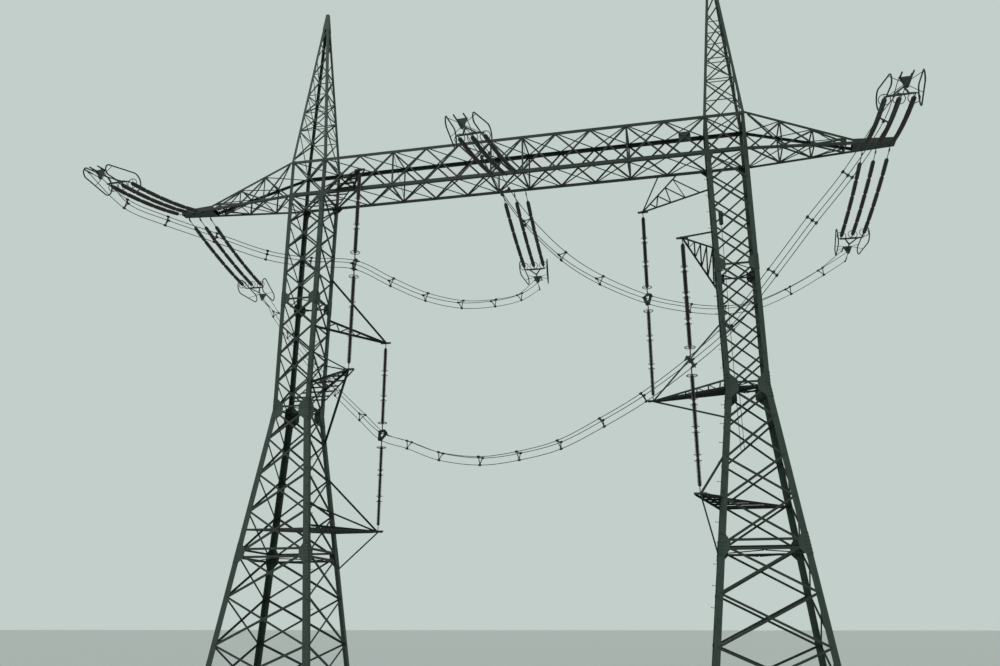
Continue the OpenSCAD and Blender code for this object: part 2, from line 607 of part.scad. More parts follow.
// how much further out the clamp of the lowest conductor sits
low_step = 500;
module strain_yoke(x, s, jumper_way) {
    w = yoke_pitch;
    color(metal) {
        // lugs under the steelwork, links to the first rods, fittings of the last
        for (i = [-1:1]) {
            p = string_start(x, s, i);
            e = on_string(x, s, i, joint(rods - 1));
            translate([p.x - 8, p.y, beam_level]) rotate([90, 0, 90]) linear_extrude(16)
                polygon([[-s * 130, 0], [-s * 44, 0], [s * 50, -lug_drop + 50], [s * 50, -lug_drop - 45],
                    [-s * 40, -lug_drop - 45]]);
            line_up(p, on_string(x, s, i, joint(1))) {
                translate([-20, -28, -30]) cube([40, 56, 150]);
                translate([0, 0, 100]) cylinder(h = link_length + pin_gap - 100, r = 17);
            }
            line_up(e, yoke_pin(x, s, i)) {
                translate([0, 0, rod_length - pin_gap])
                    cylinder(h = norm(yoke_pin(x, s, i) - e) - rod_length + pin_gap, r = 22);
                translate([0, 0, rod_length - 60]) {
                    rotate_extrude() translate([ring_r, 0]) circle(r = ring_t, $fn = 24);
                    for (a = [0, 180]) rotate([0, 0, a])
                        translate([cap_r, -8, -6]) cube([ring_r - cap_r, 16, 12]);
                }
            }
        }
        yoke_frame(x, s) {
            // yoke bar, V links and stem
            translate([0, 0, -yoke_t / 2]) linear_extrude(yoke_t) {
                polygon([[-w - 60, -45], [w + 60, -45], [w + 60, 20], [w - 190, 95],
                    [190 - w, 95], [-w - 60, 20]]);
                for (m = [0, 1]) mirror([m, 0])
                    polygon([[w - 220, 90], [w - 290, 90], [-25, apex_at - 80], [-25, apex_at], [25, apex_at]]);
                translate([-28, apex_at - 20]) square([56, clamp_from - apex_at + 32]);
            }
            // line plate, and the dead-end clamps with a longer link to the lowest
            translate([0, clamp_from, 0]) rotate([90, 0, 0]) translate([0, 0, -20]) linear_extrude(20)
                polygon([[-bundle / 2 - 50, 160], [bundle / 2 + 50, 160], [50, -290], [-50, -290]]);
            for (j = [0:2]) let (c = bundle_offsets[j], step = clamp_step(j))
                translate([c.x, clamp_from + 6, c.y]) rotate([-90, 0, 0]) {
                    translate([0, 0, step]) cylinder(h = clamp_at + 104 - clamp_from, r = clamp_r);
                    if (step > 0) cylinder(h = step + 12, r = 17);
                }
            // guard loops on their stays
            for (e = [-1, 1]) {
                translate([e * loop_x, 0, 0]) rotate([0, 0, e * loop_toe]) rotate([90, 0, 90]) guard_loop();
                for (a = loop_stays) let (v = a[1] * loop_half(a[0]), p = [e * 14, stay_root + a[1] * 40, 0],
                    q = [e * (loop_x - a[0] * sin(loop_toe)), a[0] * cos(loop_toe), v])
                    line_up(p, q) cylinder(h = norm(q - p) - 4, r = 12);
            }
        }
        // terminals that the jumper leaves from
        for (j = [0:2]) line_up(terminal_root(x, s, j), terminal(x, s, j, jumper_way))
            cylinder(h = terminal_length, r = 24);
    }
}
terminal_length = 160;
function clamp_step(j) = j == 2 ? low_step : 0;
function terminal_root(x, s, j) = let (c = bundle_offsets[j])
    at_yoke(x, s, clamp_at + clamp_step(j), (s > 0 ? 1 : -1) * c.x, c.y);
function terminal_way(x, s, r) = unit(r - at_yoke(x, s, clamp_at, 0, 0));
function terminal(x, s, j, r) = terminal_root(x, s, j) + terminal_length * terminal_way(x, s, r);

// Posts of the jumpers
bundle_offsets = [[-bundle / 2, bundle * 0.2887], [bundle / 2, bundle * 0.2887], [0, -bundle * 0.5774]];
sup_rods = 3;
function up_low(z) = z[1] + clamp_half;
function low_top(z) = z[1] - clamp_half;
module support_insulators(list) {
    color(brown) for (s = list) {
        translate([s[0].x, s[0].y, up_low(s[1])]) rod_string(sup_rods, sup_rod);
        translate([s[0].x, s[0].y, low_top(s[1]) - sup_rods * sup_rod]) rod_string(sup_rods, sup_rod);
    }
}
module support_hardware(p, z, dir) {
    top = up_low(z) + sup_rods * sup_rod;
    bottom = low_top(z) - sup_rods * sup_rod;
    for (e = [[top, z[0] - pad_t], [z[2] + pad_t, bottom]]) translate([p.x, p.y, e[0]])
        cylinder(h = e[1] - e[0], r = 18);
    for (e = [[up_low(z) + 40, 1], [low_top(z) - 40, -1]]) translate([p.x, p.y, e[0]]) {
        rotate_extrude() translate([ring_r, 0]) circle(r = ring_t);
        for (a = [0, 180]) rotate([0, 0, a]) translate([cap_r, -8, -6]) cube([ring_r - cap_r, 16, 12]);
    }
    translate([p.x, p.y, z[1]]) rotate([0, 0, dir.x]) rotate([dir.y, 0, 0])
        rotate([90, 0, 0]) translate([0, 0, -12]) linear_extrude(24) difference() {
            polygon([[-60, 300], [60, 300], [bundle / 2 + 80, 190], [bundle / 2 + 80, 40],
                [110, -300], [-110, -300], [-bundle / 2 - 80, 40], [-bundle / 2 - 80, 190]]);
            for (c = bundle_offsets) translate(c) circle(r = wire_d / 2 + clamp_gap);
            polygon([[-110, 150], [110, 150], [60, -60], [-60, -60]]);
        }
    translate([p.x, p.y, z[1] + 250]) cylinder(h = clamp_half - 250, r = 26);
    translate([p.x, p.y, z[1] - clamp_half]) cylinder(h = clamp_half - 270, r = 26);
}

// Brackets of the posts
// keeps what lies outside tower face k
module outside_tower(side, k, z0, z1, off = 0) {
    difference() {
        children();
        translate([side * tower_x, 0, 0]) tower_face(k, z0, z1)
            translate([-3500, -200, off - 2500]) cube([7000, z1 - z0 + 400, 2500]);
    }
}
// a flat truss from two base points to a tip with rungs between its edges
module flat_truss(tip, a, b, n, w) {
    strut(tip, a, 90, 9);
    strut(tip, b, 90, 9);
    for (i = [1:n]) {
        p = mix(tip, a, i / (n + 0.6));
        q = mix(tip, b, i / (n + 0.6));
        strut(p, q, w, 7);
        if (i < n) flat_strut(q, mix(tip, a, (i + 1) / (n + 0.6)), w, 8);
    }
}
module tip_pad(p, up) {
    translate([p.x, p.y, p.z + (up ? -pad_t : 0)]) translate([-90, -90, 0]) cube([180, 180, pad_t]);
}
pad_t = 60;
module bracket_1() {
    t = [sup1.x, sup1.y, sup1_z[0]];
    u = [sup1.x, sup1.y, sup1_z[2]];
    color(steel_dark) {
        difference() {
            union() {
                tip_pad(t, true);
                flat_truss(t + [0, 0, -30],
                    [-bay_x[half_bays - 1] - 260, -beam_depth / 2 + 80, beam_level + 80],
                    [-inner_x + 560, -beam_depth / 2 + 80, beam_level + 80], 4, 60);
            }
            translate([-12000, -beam_depth / 2, beam_level - 300]) cube([12000, 2000, 3000]);
        }
        outside_tower(-1, 1, waist_level, beam_level) {
            tip_pad(u, false);
            flat_truss(u + [0, 0, 30], leg_point(-1, 1, -1, u.z) + [-80, 60, -60],
                leg_point(-1, 1, 1, u.z) + [-80, -60, -60], 6, 60);
            strut(u, leg_point(-1, 1, -1, 14960) + [-60, 90, 0], 60, 6);
            strut(u, leg_point(-1, 1, 1, 14700) + [-60, -90, 0], 60, 6);
        }
        outside_tower(-1, 1, 0, waist_level)
            strut(u + [0, 0, 20], leg_point(-1, 1, 1, 10900) + [-60, -90, 0], 90, 9);
    }
}
module bracket_2() {
    t = [sup2.x, sup2.y, sup2_z[0]];
    u = [sup2.x, sup2.y, sup2_z[2]];
    color(steel_dark) {
        outside_tower(-1, 1, waist_level, beam_level) {
            tip_pad(t, true);
            flat_truss(t + [0, 0, -30], leg_point(-1, 1, 1, 17050) + [-80, -60, 0],
                leg_point(-1, 1, -1, 16200) + [-80, 60, 0], 4, 60);
            strut(t, leg_point(-1, 1, 1, 19200) + [-60, -90, 0], 80, 8);
        }
        outside_tower(-1, 1, 0, waist_level) {
            tip_pad(u, false);
            flat_truss(u + [0, 0, 30], leg_point(-1, 1, 1, u.z) + [-80, -60, 0],
                leg_point(-1, 1, -1, u.z) + [-80, 60, 0], 4, 60);
            strut(u, leg_point(-1, 1, 1, 9250) + [-60, -90, 0], 80, 8);
            strut(u, leg_point(-1, 1, -1, 7850) + [-60, 90, 0], 60, 6);
            strut(u, leg_point(-1, 1, 1, 5200) + [-60, -90, 0], 60, 6);
        }
    }
}
module bracket_3() {
    t = [sup3.x, sup3.y, sup3_z[0]];
    u = [sup3.x, sup3.y, sup3_z[2]];
    color(steel_dark) {
        difference() {
            union() {
                tip_pad(t, true);
                flat_truss(t + [0, 0, -30], [7920, beam_depth / 2 - 60, beam_level + 60],
                    leg_point(1, -1, 1, 22200) + [80, -60, 0], 4, 60);
                strut(t, [7020, beam_depth / 2 - 60, beam_level + 60], 70, 7);
            }
            translate([4000, -2000, beam_level - 200]) cube([8000, 2000 + beam_depth / 2, 1200]);
            translate([tower_x, 0, 0]) tower_face(3, waist_level, beam_level)
                translate([-3500, -200, -2500]) cube([7000, beam_level - waist_level + 400, 2500]);
        }
        outside_tower(1, 3, waist_level, beam_level, plate_t) {
            tip_pad(u, false);
            flat_truss(u + [0, 0, 30], leg_point(1, -1, 1, u.z + 60) + [80, -60, 0],
                leg_point(1, -1, -1, u.z + 60) + [80, 60, 0], 6, 60);
        }
        outside_tower(1, 3, waist_level, beam_level)
            strut(u + [0, 0, 30], leg_point(1, -1, 1, 15500) + [60, -90, 0], 80, 8);
        outside_tower(1, 3, 0, waist_level)
            strut(u + [0, 0, 20], leg_point(1, -1, 1, 11300) + [60, -90, 0], 80, 8);
    }
}
module bracket_4() {
    t = [sup4.x, sup4.y, sup4_z[0]];
    u = [sup4.x, sup4.y, sup4_z[2]];
    color(steel_dark) {
        outside_tower(1, 3, waist_level, beam_level) {
            tip_pad(t, true);
            flat_truss(t + [0, 0, -30], leg_point(1, -1, -1, 18400) + [80, 60, 0],
                leg_point(1, -1, 1, 17100) + [80, -60, 0], 5, 60);
            strut(t, leg_point(1, -1, -1, 19250) + [60, 90, 0], 80, 8);
        }
        outside_tower(1, 3, 0, waist_level) {
            tip_pad(u, false);
            flat_truss(u + [0, 0, 30], leg_point(1, -1, -1, u.z) + [80, 60, 0],
                leg_point(1, -1, 1, u.z) + [80, -60, 0], 4, 60);
            strut(u, leg_point(1, -1, -1, 9300) + [60, 90, 0], 70, 7);
            strut(u + [0, 0, 20], leg_point(1, -1, -1, 5150) + [60, 90, 0], 80, 8);
        }
    }
}

// Jumper loops
// hand-chosen points between the dead-end clamps; each one but the clamps' carries a spacer
route_left = [[-15500, -7200, 20100], [-14000, -6350, 19530], [-12200, -5300, 19030], [-10280, -4180, 18500],
    [-8600, -3200, 18420], [sup1.x, sup1.y, sup1_z[1]], [-5700, -500, 18260], [-4500, 1200, 18050],
    [-3200, 3100, 18250], [-1900, 4950, 18900], [-800, 6500, 19730]];
route_middle = [[400, -7250, 20500], [1000, -6250, 19350], [1700, -5100, 18500], [2860, -3210, 17670],
    [4220, -970, 17340], [sup3.x, sup3.y, sup3_z[1]], [8080, 3220, 17220], [9700, 4060, 17300],
    [11300, 4900, 17760], [13000, 5800, 18700], [14800, 6750, 19950]];
route_right = [[15300, -7200, 20200], [14000, -6300, 18600], [12700, -5430, 17300], [11200, -4450, 15700],
    [9500, -3300, 14000], [sup4.x, sup4.y, sup4_z[1]], [5900, -1600, 11750], [4100, -1060, 10900],
    [2200, -500, 10150], [300, 70, 9850], [-1560, 630, 9800], [-3600, 1240, 10200],
    [-5300, 1750, 10900], [sup2.x, sup2.y, sup2_z[1]], [-8200, 2980, 12650], [-10000, 3980, 14250],
    [-12000, 5100, 16150], [-14000, 6200, 18350], [-15400, 7000, 20000]];
function spline(p, i, t) = let (a = p[max(0, i - 1)], b = p[i], c = p[i + 1], d = p[min(len(p) - 1, i + 2)])
    0.5 * (2 * b + (c - a) * t + (2 * a - 5 * b + 4 * c - d) * t * t + (3 * b - a - 3 * c + d) * t * t * t);
function heading(p, i) = unit(p[min(len(p) - 1, i + 1)] - p[max(0, i - 1)]);
function aside(t) = unit([t.y, -t.x, 0]);
function above(t) = cross(aside(t), t);
// one conductor of the bundle as a list of points, from the terminal a at set u to that at set v
function wire(p, j, u, v) = let (c = bundle_offsets[j], n = len(p) - 1,
    a = terminal(u[0], u[1], j, p[0]), b = terminal(v[0], v[1], j, p[n])) concat(
    [a, a + 60 * terminal_way(u[0], u[1], p[0])],
    [for (i = [0:n]) let (t = heading(p, i)) p[i] + c.x * aside(t) + c.y * above(t)],
    [b + 60 * terminal_way(v[0], v[1], p[n]), b]);
module tube(p, r, sides) {
    m = len(p) - 1;
    pts = concat([p[0]], [for (i = [1:m - 2], h = [0, 0.5]) spline(p, i, h)], [p[m - 1], p[m]]);
    n = len(pts) - 1;
    rings = [for (k = [0:n]) let (t = unit(pts[min(n, k + 1)] - pts[max(0, k - 1)]),
        e = unit(cross(t, [0.01, 0.02, 1])), f = cross(e, t))
        [for (j = [0:sides - 1]) pts[k] + r * (cos(360 * j / sides) * e + sin(360 * j / sides) * f)]];
    polyhedron(points = [for (g = rings) each g], faces = concat(
        [[for (j = [0:sides - 1]) j]],
        [for (k = [0:n - 1], j = [0:sides - 1]) let (j2 = (j + 1) % sides)
            [k * sides + j, (k + 1) * sides + j, (k + 1) * sides + j2, k * sides + j2]],
        [[for (j = [sides - 1:-1:0]) n * sides + j]]), convexity = 10);
}
module jumper(p, u, v) {
    color(metal) for (j = [0:2]) tube(wire(p, j, u, v), wire_d / 2, 6);
}
module spacer(p, i) {
    t = heading(p, i);
    translate(p[i]) rotate([0, 0, atan2(t.y, t.x) - 90]) rotate([asin(t.z), 0, 0]) rotate([90, 0, 0])
        translate([0, 0, -14]) linear_extrude(28) difference() {
            union() {
                for (c = bundle_offsets) translate(c) circle(r = 42);
                difference() {
                    polygon([for (c = bundle_offsets) c]);
                    polygon([for (c = bundle_offsets) c * 0.72]);
                }
            }
            for (c = bundle_offsets) translate(c) circle(r = wire_d / 2 + 0.3, $fn = 24);
        }
}
module jumper_spacers() {
    color(metal) {
        for (i = [0:10]) if (i != 5) spacer(route_left, i);
        for (i = [0:10]) if (i != 5) spacer(route_middle, i);
        for (i = [0:18]) if (i != 5 && i != 13) spacer(route_right, i);
    }
}
function clamp_dir(p, i) = let (t = heading(p, i)) [atan2(t.y, t.x) - 90, asin(t.z)];
module support_clamps() {
    color(metal) {
        support_hardware(sup1, sup1_z, clamp_dir(route_left, 5));
        support_hardware(sup2, sup2_z, clamp_dir(route_right, 13));
        support_hardware(sup3, sup3_z, clamp_dir(route_middle, 5));
        support_hardware(sup4, sup4_z, clamp_dir(route_right, 5));
    }
}

module blank_plate() {
    color(steel_dark) translate([(bay_x[half_bays] + bay_x[half_bays - 1]) / 2 - 270,
        -beam_depth / 2 + chord_t + brace_beam * out, beam_level + beam_height / 2 - 200]) cube([540, 6, 480]);
}
module down_lead() {
    color(steel_dark) translate([tower_x - 420, 0, 0]) {
        y = half_y(splice_z) - leg_t - brace_high * out - 14;
        translate([0, y, 9900]) cylinder(h = 10500, r = 12);
        translate([0, y - 70, 20300]) cylinder(h = 640, r = 95);
    }
}

legs_lower(-1);  // left_legs_lower
legs_upper(-1);  // left_legs_upper
lower_faces(-1, [0, 2]);  // left_lower_front_back
lower_faces(-1, [1, 3]);  // left_lower_sides
upper_faces(-1, [0, 2]);  // left_upper_front_back
upper_faces(-1, [1, 3]);  // left_upper_sides
diaphragms(-1);  // left_diaphragms
peak(-1);  // left_peak
legs_lower(1);  // right_legs_lower
legs_upper(1);  // right_legs_upper
lower_faces(1, [0, 2]);  // right_lower_front_back
lower_faces(1, [1, 3]);  // right_lower_sides
upper_faces(1, [0, 2]);  // right_upper_front_back
upper_faces(1, [1, 3]);  // right_upper_sides
diaphragms(1);  // right_diaphragms
peak(1);  // right_peak
beam_chords();
for (k = [0, 2]) beam_lattice(k);  // beam_front_back
for (k = [1, 3]) beam_lattice(k);  // beam_top_bottom
beam_cross_frames();
mirror([1, 0, 0]) arm();  // left_arm
arm();  // right_arm
mirror([1, 0, 0]) arm_tip();  // left_arm_tip
arm_tip();  // right_arm_tip
strain_insulators(-phase_x, -1);  // left_front_insulators
strain_yoke(-phase_x, -1, route_left[0]);  // left_front_yoke
strain_insulators(-phase_x, 1);  // left_back_insulators
strain_yoke(-phase_x, 1, route_right[18]);  // left_back_yoke
strain_insulators(0, -1);  // middle_front_insulators
strain_yoke(0, -1, route_middle[0]);  // middle_front_yoke
strain_insulators(0, 1);  // middle_back_insulators
strain_yoke(0, 1, route_left[10]);  // middle_back_yoke
strain_insulators(phase_x, -1);  // right_front_insulators
strain_yoke(phase_x, -1, route_right[0]);  // right_front_yoke
strain_insulators(phase_x, 1);  // right_back_insulators
strain_yoke(phase_x, 1, route_middle[10]);  // right_back_yoke
bracket_1();
bracket_2();
bracket_3();
bracket_4();
support_insulators([[sup1, sup1_z], [sup2, sup2_z]]);  // left_support_insulators
support_insulators([[sup3, sup3_z], [sup4, sup4_z]]);  // right_support_insulators
support_clamps();
jumper(route_left, [-phase_x, -1], [0, 1]);  // jumper_left
jumper(route_middle, [0, -1], [phase_x, 1]);  // jumper_middle
jumper(route_right, [phase_x, -1], [-phase_x, 1]);  // jumper_right
jumper_spacers();
blank_plate();
down_lead();
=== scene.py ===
import math

import bpy
import numpy as np
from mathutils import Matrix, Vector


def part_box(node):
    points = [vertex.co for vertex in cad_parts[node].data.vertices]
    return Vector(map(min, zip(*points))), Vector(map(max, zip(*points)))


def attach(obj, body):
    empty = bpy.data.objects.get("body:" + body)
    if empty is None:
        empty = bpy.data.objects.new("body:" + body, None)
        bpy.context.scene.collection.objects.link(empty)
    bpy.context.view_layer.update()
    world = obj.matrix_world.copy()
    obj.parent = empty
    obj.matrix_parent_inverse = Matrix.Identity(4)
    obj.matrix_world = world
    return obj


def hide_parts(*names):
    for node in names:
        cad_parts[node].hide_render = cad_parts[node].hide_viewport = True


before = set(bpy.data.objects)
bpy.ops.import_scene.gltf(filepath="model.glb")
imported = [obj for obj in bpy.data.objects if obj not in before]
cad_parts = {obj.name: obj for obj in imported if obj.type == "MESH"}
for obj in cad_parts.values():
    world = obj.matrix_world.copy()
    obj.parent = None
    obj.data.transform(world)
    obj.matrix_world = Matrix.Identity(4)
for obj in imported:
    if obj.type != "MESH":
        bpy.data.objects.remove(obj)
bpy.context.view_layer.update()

# Camera
# Stands on the ground in front of the pylon, right of its middle, turned 12 degrees to the
# left and 18 degrees up, as the photograph was taken.
photo_width = 1000
photo_focal = 884.65
camera_data = bpy.data.cameras.new("camera")
camera_data.sensor_width = 36
camera_data.lens = photo_focal * camera_data.sensor_width / photo_width
camera_data.clip_end = 3000
camera = bpy.data.objects.new("camera", camera_data)
camera.location = (7.563, -37.583, 2.7)
camera.rotation_euler = (math.radians(90 + 18.41), 0, math.radians(12.14))
bpy.context.scene.collection.objects.link(camera)
bpy.context.scene.camera = camera

# Strain sets
# Six sets of three strings pull the line off the beam and the arms, front (side -1) and
# back (side 1). Each slopes down and turns a little; these are the lines they hang along.
gusset_drop = 0.42
beam_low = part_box("beam_chords")[0].z + gusset_drop
tower_x = 10.15
outer_x = 11.065
beam_depth = 1.94
arm_length = 6.38
tip_width = 0.42
phase_x = tower_x + 6.53
string_length = 6.4
string_slope = 13.0
string_sag = 0.15
line_slope = 6.0
string_pitch = 0.57
yoke_pitch = 0.53
link_length = 0.56
lug_out = 0.04
lug_drop = 0.1
rods_in_string = 5
rod_length = 1.11
# turn of the sets about the vertical in degrees: middle set, spread of the others, the line beyond
front_turn = (-1.8, -2.8, -2.5)
back_turn = (1.0, 1.5, 1.6)


def unit(v):
    """The vector divided by its length."""
    return v / np.linalg.norm(v)


def edge_y(x):
    """Half the depth of beam or arm at x: constant to the outer legs, then tapering to the tip."""
    past = max(0.0, abs(x) - outer_x) / arm_length
    return beam_depth / 2 + (tip_width - beam_depth) / 2 * past


def away(side, turn, slope):
    """Direction off the beam, turned about the vertical and sloping down by degrees."""
    a, b = math.radians(turn), math.radians(slope)
    return np.array([-side * math.sin(a) * math.cos(b), side * math.cos(a) * math.cos(b), -math.sin(b)])


def turns(x, side):
    """Turn of the strings of the set at x, and that of the line they pull on."""
    middle, spread, line = front_turn if side < 0 else back_turn
    return middle + spread * np.sign(x), line


def string_start(x, side, i):
    """Where string i hangs from its lug: i pitches off the set's middle, just past the edge and under it."""
    at = x + i * string_pitch
    return np.array([at, side * (edge_y(at) + lug_out), beam_low - lug_drop])


def at_yoke(x, side, a, b, c):
    """A point a metres along the line, b across and c above the middle of a set's yoke."""
    turn, line = turns(x, side)
    middle = string_start(x, side, 0) + string_length * away(side, turn, string_slope)
    across = np.array([math.cos(math.radians(line)), math.sin(math.radians(line)), 0.0])
    return middle + a * away(side, line, line_slope) + b * across - c * away(side, line, line_slope + 90)


def on_string(x, side, i, u):
    """The point of string i at the distance u from its lug, on the curve that its weight gives it."""
    p, q = string_start(x, side, i), at_yoke(x, side, 0, i * yoke_pitch, 0)
    t = min(1.0, u / np.linalg.norm(q - p))
    return p + (q - p) * t + 4 * string_sag * t * (1 - t) * away(side, turns(x, side)[0], string_slope + 90)


def joint(r):
    """Distance from the lug of the joint before rod r: none for the first, which is in line with its link,
    then the link and r rods. After the last rod it is past the yoke, and on_string stops at the yoke."""
    if r == 0:
        return 0.0
    return 2 * string_length if r == rods_in_string else link_length + r * rod_length


# Jumper conductors
# Three bundles of three bare stranded aluminium ropes, each 30 mm thick, that carry a phase
# from its front set to the next phase's back set. They hang from the sets and the posts.
wire_d = 0.030
wire_sides = 10
bundle = 0.4
# the triangle of a bundle has its flat side on top; heights over its middle as shares of the side
side_rise = 0.2887
point_drop = 0.5774
bundle_offsets = [(-bundle / 2, bundle * side_rise), (bundle / 2, bundle * side_rise),
                  (0.0, -bundle * point_drop)]
# dead-end clamps: distance from the yoke, and how much further out the lower one is
clamp_at = 1.49
low_step = 0.5
terminal_length = 0.16
straight_lead = 0.06
steps_to_a_span = 8
lay_per_metre = 8
# posts of the jumpers: place in plan, then the heights of top, clamp and foot
post_1 = (-6.9, -2.2)
post_2 = (-6.8, 2.2)
post_3 = (6.15, 2.2)
post_4 = (7.9, -2.2)
post_1_z = (23.48, 18.55, 13.5)
post_2_z = (16.15, 11.47, 6.9)
post_3_z = (22.0, 17.43, 12.45)
post_4_z = (18.5, 12.97, 7.6)
posts = ((post_1, post_1_z), (post_2, post_2_z), (post_3, post_3_z), (post_4, post_4_z))
# points on the middle of each bundle, through the clamps of its posts
route_left = np.array([
    (-15.5, -7.2, 20.1), (-14.0, -6.35, 19.53), (-12.2, -5.3, 19.03), (-10.28, -4.18, 18.5),
    (-8.6, -3.2, 18.42), (*post_1, post_1_z[1]), (-5.7, -0.5, 18.26), (-4.5, 1.2, 18.05),
    (-3.2, 3.1, 18.25), (-1.9, 4.95, 18.9), (-0.8, 6.5, 19.73)])
route_middle = np.array([
    (0.4, -7.25, 20.5), (1.0, -6.25, 19.35), (1.7, -5.1, 18.5), (2.86, -3.21, 17.67),
    (4.22, -0.97, 17.34), (*post_3, post_3_z[1]), (8.08, 3.22, 17.22), (9.7, 4.06, 17.3),
    (11.3, 4.9, 17.76), (13.0, 5.8, 18.7), (14.8, 6.75, 19.95)])
route_right = np.array([
    (15.3, -7.2, 20.2), (14.0, -6.3, 18.6), (12.7, -5.43, 17.3), (11.2, -4.45, 15.7),
    (9.5, -3.3, 14.0), (*post_4, post_4_z[1]), (5.9, -1.6, 11.75), (4.1, -1.06, 10.9),
    (2.2, -0.5, 10.15), (0.3, 0.07, 9.85), (-1.56, 0.63, 9.8), (-3.6, 1.24, 10.2),
    (-5.3, 1.75, 10.9), (*post_2, post_2_z[1]), (-8.2, 2.98, 12.65), (-10.0, 3.98, 14.25),
    (-12.0, 5.1, 16.15), (-14.0, 6.2, 18.35), (-15.4, 7.0, 20.0)])
jumpers = [
    ("left", route_left, (-phase_x, -1), (0.0, 1)),
    ("middle", route_middle, (0.0, -1), (phase_x, 1)),
    ("right", route_right, (phase_x, -1), (-phase_x, 1))]


def linear(hex_code):
    """An sRGB hex colour as the linear RGBA that a node socket takes."""
    rgb = [int(hex_code[i:i + 2], 16) / 255 for i in (1, 3, 5)]
    return [c / 12.92 if c <= 0.04045 else ((c + 0.055) / 1.055) ** 2.4 for c in rgb] + [1.0]


def add_node(material, kind, settings=(), links=()):
    """Adds a node. settings sets attributes or, by socket name or index, input values; links gives the
    output that each of its inputs is joined to."""
    tree = material.node_tree
    node = tree.nodes.new(kind)
    for key, value in dict(settings).items():
        if isinstance(key, str) and hasattr(node, key):
            setattr(node, key, value)
        else:
            node.inputs[key].default_value = value
    for key, source in dict(links).items():
        tree.links.new(source, node.inputs[key])
    return node


def new_material(name, ior=1.5, metallic=0.0):
    """An empty node material with its surface shader; returns both."""
    material = bpy.data.materials.new(name)
    material.use_nodes = True
    shader = material.node_tree.nodes["Principled BSDF"]
    shader.inputs["IOR"].default_value = ior
    shader.inputs["Metallic"].default_value = metallic
    return material, shader


def add_piece(name, points, faces, material, slot, smooth=True):
    """Puts computed points and faces into a mesh of its own that rides on the pylon."""
    mesh = bpy.data.meshes.new(name)
    mesh.from_pydata(np.asarray(points).tolist(), [], [tuple(int(i) for i in f) for f in faces])
    mesh.polygons.foreach_set("use_smooth", [smooth] * len(mesh.polygons))
    mesh.materials.append(material)
    mesh.update()
    piece = bpy.data.objects.new(name, mesh)
    bpy.context.scene.collection.objects.link(piece)
    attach(piece, "root")
    return piece


def grid_faces(rows, columns):
    """Quads of a grid of rows x columns points whose last column is joined to the first."""
    i = np.arange(rows - 1)[:, None] * columns
    j = np.arange(columns)[None, :]
    k = (j + 1) % columns
    return np.stack([i + j, i + k, i + k + columns, i + j + columns], -1).reshape(-1, 4)


def sweep(line, radius, sides):
    """A round tube: rings of the given radius, square to the line at each of its points, with flat ends."""
    line = np.asarray(line, float)
    radius = np.broadcast_to(np.asarray(radius, float), (len(line),))
    way = np.gradient(line, axis=0)
    way /= np.linalg.norm(way, axis=1)[:, None]
    e = np.cross(way, [0.01, 0.02, 1.0])
    e /= np.linalg.norm(e, axis=1)[:, None]
    f = np.cross(way, e)
    angle = 2 * np.pi * np.arange(sides) / sides
    ring = np.cos(angle)[None, :, None] * e[:, None] + np.sin(angle)[None, :, None] * f[:, None]
    points = (line[:, None] + radius[:, None, None] * ring).reshape(-1, 3)
    faces = list(grid_faces(len(line), sides))
    last = (len(line) - 1) * sides
    return points, faces + [tuple(range(sides - 1, -1, -1)), tuple(range(last, last + sides))]


def smooth_line(p, steps):
    """A Catmull-Rom spline: between two of the points p a cubic in t that passes through both, its slope
    at each half the way from the point before to the point after; steps points to a span."""
    t = (np.arange(steps) / steps)[:, None]
    spans = []
    for a, b, c, d in zip(p[:-3], p[1:-2], p[2:-1], p[3:]):
        square = (2 * a - 5 * b + 4 * c - d) * t**2
        cube = (3 * b - a - 3 * c + d) * t**3
        spans.append(0.5 * (2 * b + (c - a) * t + square + cube))
    return np.vstack([p[:1], *spans, p[-2:]])


def heading(route, i):
    """Direction of the route at its point i, from the point before to the point after."""
    return unit(route[min(len(route) - 1, i + 1)] - route[max(0, i - 1)])


def frame_at(route, i):
    """Across and up directions of the bundle at route point i."""
    way = heading(route, i)
    across = unit(np.array([way[1], -way[0], 0.0]))
    return way, across, np.cross(across, way)


def terminal(set_at, j, towards):
    """Direction of conductor j's terminal on a set, towards the route, and the terminal's end."""
    x, side = set_at
    across, above = bundle_offsets[j]
    root = at_yoke(x, side, clamp_at + (low_step if j == 2 else 0), side * across, above)
    way = unit(towards - at_yoke(x, side, clamp_at, 0, 0))
    return way, root + terminal_length * way


def conductor_line(route, j, first, last):
    """Points that conductor j follows, from its front terminal to its back one."""
    across, above = bundle_offsets[j]
    way_a, a = terminal(first, j, route[0])
    way_b, b = terminal(last, j, route[-1])
    middle = []
    for i, point in enumerate(route):
        _, e, u = frame_at(route, i)
        middle.append(point + across * e + above * u)
    points = [a, a + straight_lead * way_a, *middle, b + straight_lead * way_b, b]
    return smooth_line(np.array(points), steps_to_a_span)


# weathered aluminium strand: dull grey in patches of 0.4 m, with the lay of its wires as slanted
# ridges, ten round the rope, coarser than wires of 4 mm so that they show
strand, shader = new_material("weathered_stranded_aluminium", metallic=0.35)
uv = add_node(strand, "ShaderNodeTexCoord")
ridges = add_node(strand, "ShaderNodeMapping", {"Rotation": (0, 0, 0.3)}, {"Vector": uv.outputs["UV"]})
lay = add_node(strand, "ShaderNodeTexWave", {"Scale": 3.0, "Distortion": 0.0},
               {"Vector": ridges.outputs["Vector"]})
tone = add_node(strand, "ShaderNodeTexNoise", {"Scale": 2.5}, {"Vector": uv.outputs["Object"]})
grey = add_node(strand, "ShaderNodeMix", {"data_type": "RGBA", 6: linear("#2a302e"), 7: linear("#424947")},
                {0: tone.outputs["Fac"]})
strand.node_tree.links.new(grey.outputs[2], shader.inputs["Base Color"])
shader.inputs["Roughness"].default_value = 0.55
